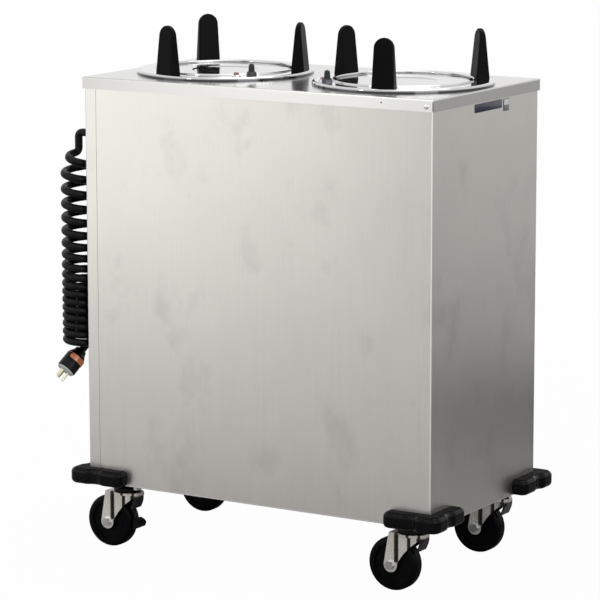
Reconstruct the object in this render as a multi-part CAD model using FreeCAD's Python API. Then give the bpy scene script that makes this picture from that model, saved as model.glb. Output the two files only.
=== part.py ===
# Heated plate dispenser cart: a stainless cabinet on four swivel casters, with two
# self-levelling plate wells hung from its top, corner bumpers and a coiled mains cord.
# Millimetres. +X is the cart's right, -Y its front, +Z up; the origin is on the floor,
# midway between the bumpers.
import FreeCAD
import Part
import math
import os

V = FreeCAD.Vector

# ---- cabinet ----
CABINET_WIDTH = 752.0
CABINET_DEPTH = 406.0
CABINET_HEIGHT = 784.0          # bottom edge of the panels to the top surface
PANEL_SHEET = 1.2
PANEL_BEND = 3.0                # outside radius of the upright bends
HEM_HEIGHT = 12.0               # edge folded flat inside the bottom of the panels
TOP_RETURN = 14.0               # flange turned in under the deck
SEAM_INSET = 25.4               # from the corner to the upright seam
SEAM_GAP = 0.8
STRIP_WIDTH = 40.0              # backing strip behind the seam
STRIP_GAP = 2.0                 # from its ends to the pan and the top flange
DECK_SHEET = 1.5
DECK_OVERHANG = 3.0
DECK_FLANGE = 22.0
DECK_BEND = 2.5
CORNER_SLOT = 1.8               # open mitre between the deck's flanges
RIVET_RADIUS = 5.3
RIVET_RISE = 2.6
RIVET_SHANK = 2.4
RIVET_FROM_SIDE = 14.0
RIVET_BELOW_TOP = 12.1

# ---- bottom of the cabinet ----
CASTER_HEIGHT = 131.8           # floor to the face that the casters bolt to
PAN_SHEET = 2.5
PAN_FLANGE = 30.0
PAN_BEND = 4.0
PAN_CLEARANCE = 0.3
VENT_LENGTH = 90.0
VENT_WIDTH = 6.0
VENT_PITCH = 18.0
VENT_COUNT = 7
CHANNEL_SHEET = 3.0
CHANNEL_HEIGHT = 25.0
CHANNEL_CROWN = 52.0
CHANNEL_BRIM = 22.0

# ---- casters ----
CASTER_INSET_X = 60.1           # kingpin from the cabinet's side
CASTER_INSET_Y = 40.7           # kingpin from the cabinet's front or back
CASTER_TRAIL = 35.0
WHEEL_RADIUS = 50.8
WHEEL_WIDTH = 30.0
SHOULDER = 9.0                  # rounding of the tread's edges
HUB_RADIUS = 14.0
HUB_OVER = 1.6                  # hub face beyond the tread's side
DISH_RADIUS = 37.0
DISH_DEPTH = 3.5
AXLE_RADIUS = 5.0
RUNNING_FIT = 0.05
FORK_GAP = 2.0                  # wheel side to leg
FORK_SHEET = 2.5
FORK_CROWN_Z = 112.5
CROWN_SHEET = 4.0
CROWN_RADIUS = 28.0
FORK_NOSE = 14.0                # centre of the rounded back, from the kingpin
BOSS_RADIUS = 14.0
BEAD_RADIUS = 2.8
FORK_WAIST = (36.5, 33.4)       # middle of the legs' hollow rear edge, from the axle
NOSE_DEPTH = 5.5                # height of the fork's wall at its nose
APRON_FOOT = (55.5, 29.5)       # lower end of the sheet behind the tread, from the axle
APRON_INSET = 1.0               # apron's side to the leg's inside
BEAD_PLACES = (11.0, 37.5, 57.0)            # pressed ribs in the legs, from the axle
KINGPIN_RADIUS = 6.0
KINGPIN_HEAD = 9.0
RACE_RADIUS = 26.5
RACE_GAP = 0.3
PLATE_LENGTH = 92.0
PLATE_WIDTH = 60.0
PLATE_THICK = 3.0
PLATE_CORNER = 6.0
BOLT_SPACING_X = 76.0
BOLT_SPACING_Y = 45.0
BOLT_RADIUS = 4.0
BOLT_CLEARANCE = 0.4
BOLT_HEX = 13.0                 # across the flats
BOLT_HEAD = 5.3
NUT_HEIGHT = 6.5
AXLE_HEX = 15.0
AXLE_HEAD = 5.0
AXLE_TIP = 2.0
WASHER = 1.2
BRAKE_GAP = 4.0                 # brake arm to tread, released
BRAKE_THICK = 3.0
BRAKE_WIDTH = 12.0
BRAKE_PIN_RADIUS = 3.0
BRAKE_PIN = (15.0, 101.0)       # from the kingpin, above the floor
PEDAL_WIDTH = 26.0
PEDAL_REACH = 13.5              # beyond the arm
PEDAL_RISE = 10.0               # half the pedal's height at the arm

# ---- bumpers ----
BUMPER_LEG = 88.0               # along each panel from the corner
BUMPER_REACH = 30.5             # corner lobe beyond the panels
BUMPER_CORNER = 19.0
BUMPER_LOBE = 28.5              # end lobe
BUMPER_LOBE_LENGTH = 40.0
BUMPER_END = 15.0
BUMPER_NECK = 24.0
BUMPER_NECK_LENGTH = 4.0
BUMPER_SWEEP = 18.0             # from lobe to neck
BUMPER_HEIGHT = 30.0
BUMPER_ROUND = 9.0
SCREW_RADIUS = 3.0
SCREW_DEPTH = 14.0
SCREW_HEX = 10.0
SCREW_HEAD = 4.0
SCREW_CLEARANCE = 0.3
SCREW_FROM_CORNER = 60.0

# ---- plate wells ----
WELL_INSET_LEFT = 186.3         # left well's axis from the cabinet's left side
WELL_INSET_RIGHT = 174.8
LEFT_RING_TURN = -104.0         # direction of each ring's first post, degrees
RIGHT_RING_TURN = 166.0
WELL_RADIUS = 129.0             # opening for the plates
RING_WIDTH = 40.5               # from the opening to the ring's outer edge
RING_SHEET = 1.5
RING_LAND = 7.5                 # flat of the ring above the deck
RING_LAP = 7.5                  # ring over the deck, round the deck's hole
LIP_RISE = 2.6                  # bead round the opening above the flat
COLLAR_DEPTH = 42.0
TUBE_CLEARANCE = 0.25
TUBE_SHEET = 1.0
TUBE_BEAD = 1.6                 # rolled bead near the tube's foot
TUBE_TOP = 12.0                 # below the deck's underside
TUBE_BOTTOM = 34.0              # above the pan
SLOT_WIDTH = 26.0
SLOT_FOOT = 24.0                # tube left whole below the slots
SLOT_OVER = 0.6                 # arm to the slot's end at the top stop
CARRIER_CLEARANCE = 4.0
CARRIER_SHEET = 1.5
CARRIER_RIM = 10.0
CARRIER_SET = 4.5               # carrier's face below the lip's crest
CARRIER_DISH = 60.0             # radius of the shallow pressed centre
DISH_SINK = 1.5
LEG_INSET = 9.0                 # legs inside the carrier's rim
LEG_DROP = 178.0
LEG_RIB = 14.0                  # depth of the rib behind each leg
ARM_OVER = 15.25                # arms beyond the tube
ARM_WIDTH = 20.0
ARM_THICK = 3.0
SPRING_RADIUS = 6.0
SPRING_SPREAD = 7.2             # half the distance between an arm's two springs
SPRING_WIRE = 1.4
SPRING_HOOK = 3.6
HANGER_DROP = 14.0              # spring hangers below the deck
HANGER_SHEET = 2.0

# ---- posts, lamps and switches on the rings ----
POST_PLACE = 19.0               # middle of a post from the opening
POST_WIDTH = 42.5
POST_DEPTH = 26.0
POST_HEIGHT = 91.0
POST_SHOULDER = 37.5            # width where the round top begins
POST_TIP = 9.0                  # depth at the top
POST_ROUND = 3.0
CONTROL_PLACE = 21.5            # lamp and switch from the opening
CONTROL_TURN = 60.0             # degrees from the first post to the middle before the next
CONTROL_SPREAD = 5.6            # degrees either side of that middle
BEZEL_RADIUS = 8.6
BEZEL_HEIGHT = 3.4
BEZEL_WALL = 1.1
LENS_RADIUS = 5.2
LENS_HEIGHT = 8.0
LENS_DEPTH = 4.0
LENS_FIT = 0.1
LAMP_DEPTH = 22.0
SWITCH_NUT = 17.5
SWITCH_NUT_HEIGHT = 8.0
BUSHING_RADIUS = 6.0
BUSHING_FIT = 0.1
BUSHING_TOP = 1.5               # above the ring's flat
BOOT_RADIUS = 6.2
BOOT_TIP = 5.4                  # radius of the round top
BOOT_HEIGHT = 23.5              # above the ring's flat
BOOT_WALL = 1.2
BOOT_SEAT = 4.5                 # depth of the boot's foot in the nut
BOOT_CLEARANCE = 1.0
TOGGLE_RADIUS = 2.6
LEVER_CLEARANCE = 1.6
SWITCH_BODY = (28.0, 17.0, 26.0)

# ---- heating and wiring ----
HEATER_RADIUS = 60.0
HEATER_ROD = 4.0
HEATER_STAND = 14.0
HEATER_SWEEP = 320.0            # degrees of the open ring
HEATER_FOOT = 2.5
HEATER_FEET = (80.0, 160.0, 240.0)          # degrees from one end of the ring
THERMOSTAT = (44.0, 30.0, 26.0)
THERMOSTAT_GAP = 2.0            # from the pan's flange
SPINDLE = (3.0, 12.0)           # radius and height
JUNCTION_BOX = (38.0, 70.0, 70.0)
BOX_WALL = 1.5
LEAD_RADIUS = 3.0
LEAD_INSET = 14.0               # leads from the cabinet's front
LEFT_LEAD_DROP = 70.0           # leads below the switches
RIGHT_LEAD_DROP = 130.0
LEAD_LIFT = 22.0                # heater lead over the channel
LEAD_SWAY = 60.0

# ---- mains cord ----
CORD_RADIUS = 7.5
GLAND_DROP = 112.8              # gland's axis below the deck's top
GLAND_LENGTH = 24.0
GLAND_RADIUS = 13.0
GLAND_MOUTH = 9.2
GLAND_NUT = 5.0                 # height of its shoulder
GLAND_THREAD = 7.8
GLAND_SOCKET = 10.0             # length of cord inside the gland's mouth
GLAND_FIT = 0.3
COIL_OUT = 36.0                 # coil's axis from the cabinet's side
COIL_INSET = 23.0               # and from its front
COIL_RADIUS = 24.8              # of the cord's centreline
COIL_START_RADIUS = 15.0
COIL_DROP = 39.6                # first turn's start below the gland's axis
COIL_TURNS = 17.71
OPEN_PITCH = 32.6               # drop in the first turn
CLOSED_PITCH = 15.55            # drop in a closed turn
OPEN_TURNS = 10.7               # turns over which the coil closes up
COIL_START = 160.0              # direction of the first turn's start, degrees
COIL_BEND = 15.0                # radius of the bends into and out of the coil
PLUG_AXIS = V(-0.283, -0.666, -0.690)
PLUG_ACROSS = V(0.83, 0.19, -0.52)          # from the blades towards the ground pin
PLUG_LENGTH = 52.0
PLUG_RADIUS = 19.3
PLUG_NECK = 10.0
PLUG_SOCKET = 8.0               # length of cord inside the plug
PLUG_FACE = 2.5                 # thickness of the face that carries the prongs
SOCKET_CLEARANCE = 0.1
BLADE_SPACING = 12.7
BLADE_WIDTH = 6.35
BLADE_THICK = 1.5
BLADE_LENGTH = 17.0
BLADE_PLACE = -4.45             # blades' middle from the plug's axis
PIN_LENGTH = 20.0
PIN_RADIUS = 2.4
PIN_SPACING = 11.9              # from the blades' middle to the ground pin

# ---- places that follow from the sizes ----
HALF_W = CABINET_WIDTH / 2
HALF_D = CABINET_DEPTH / 2
Z_BASE = CASTER_HEIGHT
Z_TOP = CASTER_HEIGHT + CABINET_HEIGHT
Z_UNDER = Z_TOP - DECK_SHEET                # underside of the deck
GLAND_Z = Z_TOP - GLAND_DROP
COIL_TOP = GLAND_Z - COIL_DROP
Z_PAN = Z_BASE + PAN_SHEET
WELLS = {"left": (-HALF_W + WELL_INSET_LEFT, LEFT_RING_TURN),
         "right": (HALF_W - WELL_INSET_RIGHT, RIGHT_RING_TURN)}
KING_X = HALF_W - CASTER_INSET_X
KING_Y = HALF_D - CASTER_INSET_Y
CORNERS = {"front_left": (-1, -1), "front_right": (1, -1),
           "rear_left": (-1, 1), "rear_right": (1, 1)}
Z_LAND = Z_TOP + RING_LAND
Z_CARRIER = Z_LAND + LIP_RISE - CARRIER_SET
Z_ARM = Z_CARRIER - LEG_DROP
RING_RADIUS = WELL_RADIUS + RING_WIDTH
TUBE_RADIUS = WELL_RADIUS + RING_SHEET + TUBE_CLEARANCE
CARRIER_RADIUS = WELL_RADIUS - CARRIER_CLEARANCE
LEG_RADIUS = CARRIER_RADIUS - LEG_INSET
ARM_REACH = TUBE_RADIUS + TUBE_SHEET + ARM_OVER
LEG_INSIDE = WHEEL_WIDTH / 2 + FORK_GAP
LEG_OUTSIDE = LEG_INSIDE + FORK_SHEET
CROWN_UNDER = FORK_CROWN_Z - CROWN_SHEET
PAN_HALF_W = HALF_W - 2 * PANEL_SHEET - PAN_CLEARANCE
PAN_HALF_D = HALF_D - 2 * PANEL_SHEET - PAN_CLEARANCE
COIL_X = -HALF_W - COIL_OUT
COIL_Y = -HALF_D + COIL_INSET
NEAR = 0.01                     # two edges this close lie on the same plane
# the cord's upper end stands over the start of its first turn
DROP_X = COIL_X + COIL_START_RADIUS * math.cos(math.radians(COIL_START)) \
    + COIL_BEND * math.sin(math.radians(COIL_START))
GLAND_Y = COIL_Y + COIL_START_RADIUS * math.sin(math.radians(COIL_START)) \
    - COIL_BEND * math.cos(math.radians(COIL_START))


# ---- helpers ----
def save(name, solids):
    """Write one node, a single solid or a group of separate ones."""
    shape = Part.makeCompound(solids) if isinstance(solids, list) else solids
    shape.exportStep("parts/" + name + ".step")


def block(x0, x1, y0, y1, z0, z1):
    return Part.makeBox(x1 - x0, y1 - y0, z1 - z0, V(x0, y0, z0))


def rod(radius, start, end):
    return Part.makeCylinder(radius, (end - start).Length, start, end - start)


def hexagon(flats, start, end):
    """A hexagonal bar between two points."""
    reach = flats / math.sqrt(3)
    ring = [V(reach * math.cos(math.radians(60 * k)), reach * math.sin(math.radians(60 * k)), 0)
            for k in range(7)]
    bar = Part.Face(Part.makePolygon(ring)).extrude(V(0, 0, (end - start).Length))
    bar.Placement = FreeCAD.Placement(start, FreeCAD.Rotation(V(0, 0, 1), end - start))
    return bar


def line(a, b):
    return Part.LineSegment(a, b).toShape()


def arc(a, mid, b):
    return Part.Arc(a, mid, b).toShape()


def outline(points):
    """A closed wire through points, a plain one first; a triple (a, mid, b) is an arc."""
    edges = []
    last = points[0]
    for item in points[1:] + [points[0]]:
        curved = isinstance(item, tuple)
        first = item[0] if curved else item
        if (last - first).Length > NEAR:
            edges.append(line(last, first))
        if curved:
            edges.append(arc(*item))
        last = item[-1] if curved else item
    return Part.Wire(edges)


def turned(profile, x=0.0, y=0.0, z=0.0):
    """Revolve (radius, height) pairs round an upright axis at (x, y), heights from z."""
    wire = Part.makePolygon([V(r, 0, h) for r, h in profile + [profile[0]]])
    solid = Part.Face(wire).revolve(V(0, 0, 0), V(0, 0, 1), 360)
    solid.translate(V(x, y, z))
    return solid


def rounded_block(half_x, half_y, z0, z1, radius):
    body = block(-half_x, half_x, -half_y, half_y, z0, z1)
    upright = [e for e in body.Edges if abs(e.BoundBox.ZLength - (z1 - z0)) < 1e-6]
    return body.makeFillet(radius, upright)


def polar(radius, degrees, z=0.0):
    return V(radius * math.cos(math.radians(degrees)), radius * math.sin(math.radians(degrees)), z)


def about_z(shape, degrees, x=0.0, y=0.0):
    """A copy of shape turned about the Z axis, then moved to (x, y)."""
    copy = shape.copy()
    copy.rotate(V(0, 0, 0), V(0, 0, 1), degrees)
    copy.translate(V(x, y, 0))
    return copy


# ---- cabinet ----
def bumper_screw_holes():
    """Pairs of (start, direction) for the screws, from inside the panels outwards."""
    spots = []
    for sx, sy in CORNERS.values():
        z = Z_BASE + BUMPER_HEIGHT / 2
        spots.append((V(sx * (HALF_W - SCREW_FROM_CORNER), sy * (PAN_HALF_D - PAN_SHEET), z), V(0, sy, 0)))
        spots.append((V(sx * (PAN_HALF_W - PAN_SHEET), sy * (HALF_D - SCREW_FROM_CORNER), z), V(sx, 0, 0)))
    return spots


def screw_clearance():
    radius = SCREW_RADIUS + SCREW_CLEARANCE
    depth = HALF_W - PAN_HALF_W + PAN_SHEET + SCREW_DEPTH + 1
    return [rod(radius, start - way, start + way * depth) for start, way in bumper_screw_holes()]


def gland_hole():
    radius = GLAND_THREAD + GLAND_FIT
    middle = V(-HALF_W, GLAND_Y, GLAND_Z)
    return rod(radius, middle - V(TOP_RETURN, 0, 0), middle + V(TOP_RETURN, 0, 0))


def on_skin(edge):
    """True for an edge on the outside of the panels."""
    box = edge.BoundBox
    beside = box.XMax > HALF_W - NEAR or box.XMin < -HALF_W + NEAR
    before = box.YMax > HALF_D - NEAR or box.YMin < -HALF_D + NEAR
    return beside or before


def panel_ring(outer, inner, z0, z1):
    """Rectangular band between two depths below the panels' outside."""
    skin = rounded_block(HALF_W - outer, HALF_D - outer, z0, z1, PANEL_BEND - outer)
    bend = max(PANEL_BEND - inner, PANEL_SHEET / 4)
    hollow = rounded_block(HALF_W - inner, HALF_D - inner, z0, z1, bend)
    return skin.cut(hollow)


def wraps():
    """Both panels: an upright band, its bottom hem and the flange under the deck."""
    band = panel_ring(0, PANEL_SHEET, Z_BASE, Z_UNDER)
    hem = panel_ring(PANEL_SHEET, 2 * PANEL_SHEET, Z_BASE, Z_BASE + HEM_HEIGHT)
    top = panel_ring(PANEL_SHEET / 2, TOP_RETURN, Z_UNDER - PANEL_SHEET, Z_UNDER)
    body = band.fuse([hem, top]).removeSplitter()
    foot = [e for e in body.Edges if e.BoundBox.ZMax < Z_BASE + NEAR and on_skin(e)]
    body = body.makeFillet(PANEL_SHEET * 0.9, foot)
    for side in (-1, 1):
        seam = side * (HALF_W - SEAM_INSET)
        face = side * HALF_D
        body = body.cut(block(seam - SEAM_GAP / 2, seam + SEAM_GAP / 2, face - SEAM_INSET,
                              face + SEAM_INSET, 0, Z_TOP))
    body = body.cut(screw_clearance() + [gland_hole()])
    front, rear = sorted(body.Solids, key=lambda s: s.CenterOfMass.y)
    save("front_wrap", front)
    save("rear_wrap", rear)


def seam_strips():
    strips = []
    low = Z_BASE + PAN_FLANGE + STRIP_GAP
    high = Z_UNDER - PANEL_SHEET - STRIP_GAP
    for side in (-1, 1):
        seam = side * (HALF_W - SEAM_INSET)
        left = max(seam - STRIP_WIDTH / 2, -HALF_W + PANEL_BEND)
        right = min(seam + STRIP_WIDTH / 2, HALF_W - PANEL_BEND)
        outer = side * (HALF_D - PANEL_SHEET)
        inner = side * (HALF_D - 2 * PANEL_SHEET)
        strips.append(block(left, right, min(outer, inner), max(outer, inner), low, high))
    save("seam_strips", strips)


def top_deck():
    half_w = HALF_W + DECK_OVERHANG
    half_d = HALF_D + DECK_OVERHANG
    low = Z_TOP - DECK_FLANGE
    deck = block(-half_w, half_w, -half_d, half_d, low, Z_TOP)
    deck = deck.makeFillet(DECK_BEND, [e for e in deck.Edges if e.BoundBox.ZMin > Z_TOP - NEAR])
    deck = deck.cut(block(-half_w + DECK_SHEET, half_w - DECK_SHEET, -half_d + DECK_SHEET,
                          half_d - DECK_SHEET, low, Z_UNDER))
    reach = 4 * DECK_OVERHANG
    for sx, sy in CORNERS.values():
        slot = block(-reach, reach, -CORNER_SLOT / 2, CORNER_SLOT / 2, low, Z_TOP - DECK_BEND - DECK_SHEET)
        deck = deck.cut(about_z(slot, 45 * sx * sy, sx * half_w, sy * half_d))
    for centre, _ in WELLS.values():
        deck = deck.cut(Part.makeCylinder(RING_RADIUS - RING_LAP, DECK_FLANGE, V(centre, 0, low)))
    rivet_x = half_w - RIVET_FROM_SIDE
    for side in (-1, 1):
        face = V(-side * rivet_x, side * half_d, Z_TOP - RIVET_BELOW_TOP)
        through = V(0, side * 2 * DECK_SHEET, 0)
        deck = deck.cut(rod(RIVET_SHANK, face - through, face + through))
    save("top_deck", deck)


def deck_rivets():
    """A dome rivet near the front's right end and its twin at the back."""
    rise = RIVET_RISE
    sphere = (RIVET_RADIUS ** 2 + rise ** 2) / (2 * rise)
    rivets = []
    for side in (-1, 1):
        face = side * (HALF_D + DECK_OVERHANG)
        spot = V(-side * (HALF_W + DECK_OVERHANG - RIVET_FROM_SIDE), face, Z_TOP - RIVET_BELOW_TOP)
        ball = Part.makeSphere(sphere, spot - V(0, side * (sphere - rise), 0))
        dome = ball.common(rod(RIVET_RADIUS, spot, spot + V(0, side * (rise + 1), 0)))
        shank = rod(RIVET_SHANK, spot - V(0, side * DECK_OVERHANG, 0), spot)
        rivets.append(dome.fuse(shank))
    save("deck_rivets", rivets)


# ---- bottom ----
def base_pan():
    pan = rounded_block(PAN_HALF_W, PAN_HALF_D, Z_BASE, Z_BASE + PAN_FLANGE, PAN_BEND)
    inside = rounded_block(PAN_HALF_W - PAN_SHEET, PAN_HALF_D - PAN_SHEET, Z_PAN,
                           Z_BASE + PAN_FLANGE, PAN_BEND - PAN_SHEET)
    pan = pan.cut(inside)
    vents = []
    for centre, _ in WELLS.values():
        for k in range(VENT_COUNT):
            y = (k - (VENT_COUNT - 1) / 2) * VENT_PITCH
            vents.append(block(centre - VENT_LENGTH / 2, centre + VENT_LENGTH / 2,
                               y - VENT_WIDTH / 2, y + VENT_WIDTH / 2, Z_BASE - 1, Z_PAN + 1))
    save("base_pan", pan.cut(vents + screw_clearance() + bolt_clearance()))


def bolt_places():
    return [(sx * KING_X + bx * BOLT_SPACING_X / 2, sy * KING_Y + by * BOLT_SPACING_Y / 2)
            for sx, sy in CORNERS.values() for bx, by in CORNERS.values()]


def bolt_clearance():
    radius = BOLT_RADIUS + BOLT_CLEARANCE
    return [Part.makeCylinder(radius, 40, V(x, y, Z_BASE - 20)) for x, y in bolt_places()]


def caster_channels():
    """Two hat channels over the casters, brims down on the pan."""
    half = CHANNEL_CROWN / 2
    t = CHANNEL_SHEET
    high = Z_PAN + CHANNEL_HEIGHT
    brim = half + CHANNEL_BRIM
    profile = [(-brim, Z_PAN), (-half + t, Z_PAN), (-half + t, high - t), (half - t, high - t),
               (half - t, Z_PAN), (brim, Z_PAN), (brim, Z_PAN + t), (half, Z_PAN + t),
               (half, high), (-half, high), (-half, Z_PAN + t), (-brim, Z_PAN + t)]
    reach = PAN_HALF_D - PAN_SHEET - 1
    channels = []
    for side in (-1, 1):
        points = [V(side * KING_X + x, -reach, z) for x, z in profile]
        hat = Part.Face(Part.makePolygon(points + [points[0]])).extrude(V(0, 2 * reach, 0))
        channels.append(hat.cut(bolt_clearance()))
    save("caster_channels", channels)


def caster_bolts():
    bolts = []
    for x, y in bolt_places():
        under = Z_BASE - PLATE_THICK
        brim = Z_PAN + CHANNEL_SHEET
        head = hexagon(BOLT_HEX, V(x, y, under - BOLT_HEAD), V(x, y, under))
        shank = rod(BOLT_RADIUS, V(x, y, under), V(x, y, brim + NUT_HEIGHT + 2))
        nut = hexagon(BOLT_HEX, V(x, y, brim), V(x, y, brim + NUT_HEIGHT))
        bolts.append(head.fuse([shank, nut]))
    save("caster_bolts", bolts)


# ---- casters, drawn round a kingpin at x = y = 0 with the wheel behind at -x ----
def caster_plate():
    half_x, half_y = PLATE_LENGTH / 2, PLATE_WIDTH / 2
    under = Z_BASE - PLATE_THICK
    plate = rounded_block(half_x, half_y, under, Z_BASE, PLATE_CORNER)
    for bx, by in CORNERS.values():
        hole = V(bx * BOLT_SPACING_X / 2, by * BOLT_SPACING_Y / 2, under - 1)
        plate = plate.cut(Part.makeCylinder(BOLT_RADIUS + BOLT_CLEARANCE, PLATE_THICK + 2, hole))
    race_foot = FORK_CROWN_Z + RACE_GAP
    race = turned([(0, under), (RACE_RADIUS - 6, under), (RACE_RADIUS - 3, under - 3),
                   (RACE_RADIUS, under - 7), (RACE_RADIUS, race_foot + 2),
                   (RACE_RADIUS - 2, race_foot), (0, race_foot)])
    head = CROWN_UNDER - RACE_GAP
    kingpin = turned([(0, race_foot), (KINGPIN_RADIUS, race_foot), (KINGPIN_RADIUS, head),
                      (KINGPIN_HEAD, head), (KINGPIN_HEAD - 2, head - 4), (0, head - 4)])
    return plate.fuse([race, kingpin])


def horseshoe(half_width, z0, z1, front):
    """Upright prism: straight sides from x = front, closed by a round back."""
    nose = FORK_NOSE
    wire = outline([V(front, -half_width, z0),
                    (V(nose, -half_width, z0), V(nose + half_width, 0, z0), V(nose, half_width, z0)),
                    V(front, half_width, z0)])
    return Part.Face(wire).extrude(V(0, 0, z1 - z0))


def from_axle(x, z):
    return V(-CASTER_TRAIL + x, 0, WHEEL_RADIUS + z)


def across(wire, half_width):
    """Prism of a side view, as wide on either side of the caster's middle."""
    solid = Part.Face(wire).extrude(V(0, 2 * half_width, 0))
    solid.translate(V(0, -half_width, 0))
    return solid


def on_boss(degrees):
    turn = math.radians(degrees)
    return from_axle(BOSS_RADIUS * math.cos(turn), BOSS_RADIUS * math.sin(turn))


def leg_side():
    """Side view of the fork's legs: a round boss, an upright front and a hollow rear edge."""
    top = FORK_CROWN_Z - WHEEL_RADIUS + 1
    back = FORK_NOSE + LEG_OUTSIDE + CASTER_TRAIL + 1
    lean = BOSS_RADIUS / 4
    wire = outline([from_axle(-lean, top),
                    (on_boss(175), on_boss(-90), on_boss(10)),
                    (on_boss(10), from_axle(*FORK_WAIST), from_axle(back, top - NOSE_DEPTH)),
                    from_axle(back, top)])
    return across(wire, LEG_OUTSIDE + 2 * BEAD_RADIUS)


def apron(outside):
    """Slanted sheet that closes the fork's back, down behind the tread."""
    x, z = APRON_FOOT
    top_x = FORK_NOSE + LEG_OUTSIDE + CASTER_TRAIL
    top_z = CROWN_UNDER - WHEEL_RADIUS
    wire = outline([from_axle(x, z), from_axle(top_x, top_z), from_axle(top_x - 2 * FORK_SHEET, top_z),
                    from_axle(x - FORK_SHEET, z + 1)])
    return across(wire, LEG_INSIDE - APRON_INSET).common(outside)


def fork(braked):
    front = -CASTER_TRAIL - 2 * BOSS_RADIUS
    low = WHEEL_RADIUS - 2 * BOSS_RADIUS
    outside = horseshoe(LEG_OUTSIDE, low, FORK_CROWN_Z, front)
    inside = horseshoe(LEG_INSIDE, low, FORK_CROWN_Z, front)
    beads = []
    for side in (-1, 1):
        for place in BEAD_PLACES:
            foot = from_axle(place, AXLE_HEX / 2) + V(0, side * LEG_OUTSIDE, 0)
            beads.append(rod(BEAD_RADIUS, foot, V(foot.x, foot.y, CROWN_UNDER)).cut(inside))
    legs = outside.cut(inside).fuse(beads).common(leg_side())
    crown = Part.makeCylinder(CROWN_RADIUS, CROWN_SHEET, V(0, 0, CROWN_UNDER))
    bridge = horseshoe(LEG_OUTSIDE, CROWN_UNDER, FORK_CROWN_Z, -CASTER_TRAIL - BOSS_RADIUS / 4)
    body = legs.fuse([crown, bridge, apron(outside)])
    if braked:
        x, z = BRAKE_PIN
        body = body.fuse(rod(BRAKE_PIN_RADIUS, V(x, -LEG_INSIDE - 1, z), V(x, LEG_INSIDE + 1, z)))
    kingpin = Part.makeCylinder(KINGPIN_RADIUS + RUNNING_FIT, 3 * CROWN_SHEET, V(0, 0, CROWN_UNDER - 1))
    body = body.cut(kingpin)
    side = V(0, 2 * LEG_OUTSIDE, 0)
    return body.cut(rod(AXLE_RADIUS, from_axle(0, 0) - side, from_axle(0, 0) + side)).removeSplitter()


def wheel():
    half = WHEEL_WIDTH / 2
    hub = half + HUB_OVER
    dish = half - DISH_DEPTH
    bore = AXLE_RADIUS + RUNNING_FIT
    r = WHEEL_RADIUS
    s = SHOULDER
    bevel = s * (1 - math.sqrt(0.5))
    points = [V(bore, -hub, 0), V(HUB_RADIUS, -hub, 0), V(HUB_RADIUS + 2, -dish, 0),
              V(DISH_RADIUS - 2, -dish, 0), V(DISH_RADIUS, -half, 0),
              (V(r - s, -half, 0), V(r - bevel, -half + bevel, 0), V(r, -half + s, 0)),
              (V(r, half - s, 0), V(r - bevel, half - bevel, 0), V(r - s, half, 0)),
              V(DISH_RADIUS, half, 0), V(DISH_RADIUS - 2, dish, 0), V(HUB_RADIUS + 2, dish, 0),
              V(HUB_RADIUS, hub, 0), V(bore, hub, 0)]
    solid = Part.Face(outline(points)).revolve(V(0, 0, 0), V(0, 1, 0), 360)
    solid.translate(from_axle(0, 0))
    return solid


def axle():
    """Bolt through fork and wheel: a washer and a hexagon on either side, its tip proud."""
    out = V(0, LEG_OUTSIDE, 0)
    washer = V(0, WASHER, 0)
    head = V(0, AXLE_HEAD, 0)
    pieces = []
    for side in (-1, 1):
        face = from_axle(0, 0) + out * side
        pieces.append(rod(AXLE_HEX * 0.58, face, face + washer * side))
        pieces.append(hexagon(AXLE_HEX, face + washer * side, face + (washer + head) * side))
    tip = from_axle(0, 0) + out + washer + head + V(0, AXLE_TIP, 0)
    return rod(AXLE_RADIUS, from_axle(0, 0) - out, tip).fuse(pieces)


def brake():
    """Arm hung from the fork's pin, down behind the tread, with a toe pedal."""
    px, pz = BRAKE_PIN
    near = WHEEL_RADIUS + BRAKE_GAP
    far = near + BRAKE_THICK

    def at(radius, degrees):
        turn = math.radians(degrees)
        return from_axle(radius * math.cos(turn), radius * math.sin(turn))

    barrel = BRAKE_PIN_RADIUS + BRAKE_THICK
    arm = across(outline([V(px - barrel + 2, 0, pz), V(px + barrel - 1, 0, pz),
                          (at(far, 40), at(far, 15), at(far, -10)),
                          (at(near, -10), at(near, 15), at(near, 40))]), BRAKE_WIDTH / 2)
    pivot = rod(barrel, V(px, -BRAKE_WIDTH / 2, pz), V(px, BRAKE_WIDTH / 2, pz))
    heel = far - BRAKE_THICK / 2
    pedal = across(outline([from_axle(heel, -PEDAL_RISE),
                            from_axle(heel + PEDAL_REACH * 0.78, -PEDAL_RISE * 0.65),
                            from_axle(heel + PEDAL_REACH, PEDAL_RISE * 0.2),
                            from_axle(heel + PEDAL_REACH * 0.6, PEDAL_RISE * 0.7),
                            from_axle(heel, PEDAL_RISE)]), PEDAL_WIDTH / 2)
    body = arm.fuse([pivot, pedal])
    hole = BRAKE_PIN_RADIUS + RUNNING_FIT
    return body.cut(rod(hole, V(px, -PEDAL_WIDTH, pz), V(px, PEDAL_WIDTH, pz))).removeSplitter()


def casters():
    for corner, (sx, sy) in CORNERS.items():
        braked = sx < 0
        pieces = {"caster_plate_": caster_plate(), "fork_": fork(braked),
                  "wheel_": wheel(), "axle_": axle()}
        if braked:
            pieces["brake_"] = brake()
        for name, solid in pieces.items():
            solid.translate(V(sx * KING_X, sy * KING_Y, 0))
            save(name + corner, solid)


# ---- bumpers ----
def ogee(start, end):
    """Two equal arcs from start to end that leave and arrive along the X axis."""
    middle = (start + end) * 0.5
    half = middle - start
    radius = half.dot(half) / (2 * abs(half.y))
    turn = math.asin(half.x / radius) / 2
    step = V(radius * math.sin(turn), math.copysign(radius * (1 - math.cos(turn)), half.y), 0)
    return [(start, start + step, middle), (middle, end - step, end)]


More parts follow.
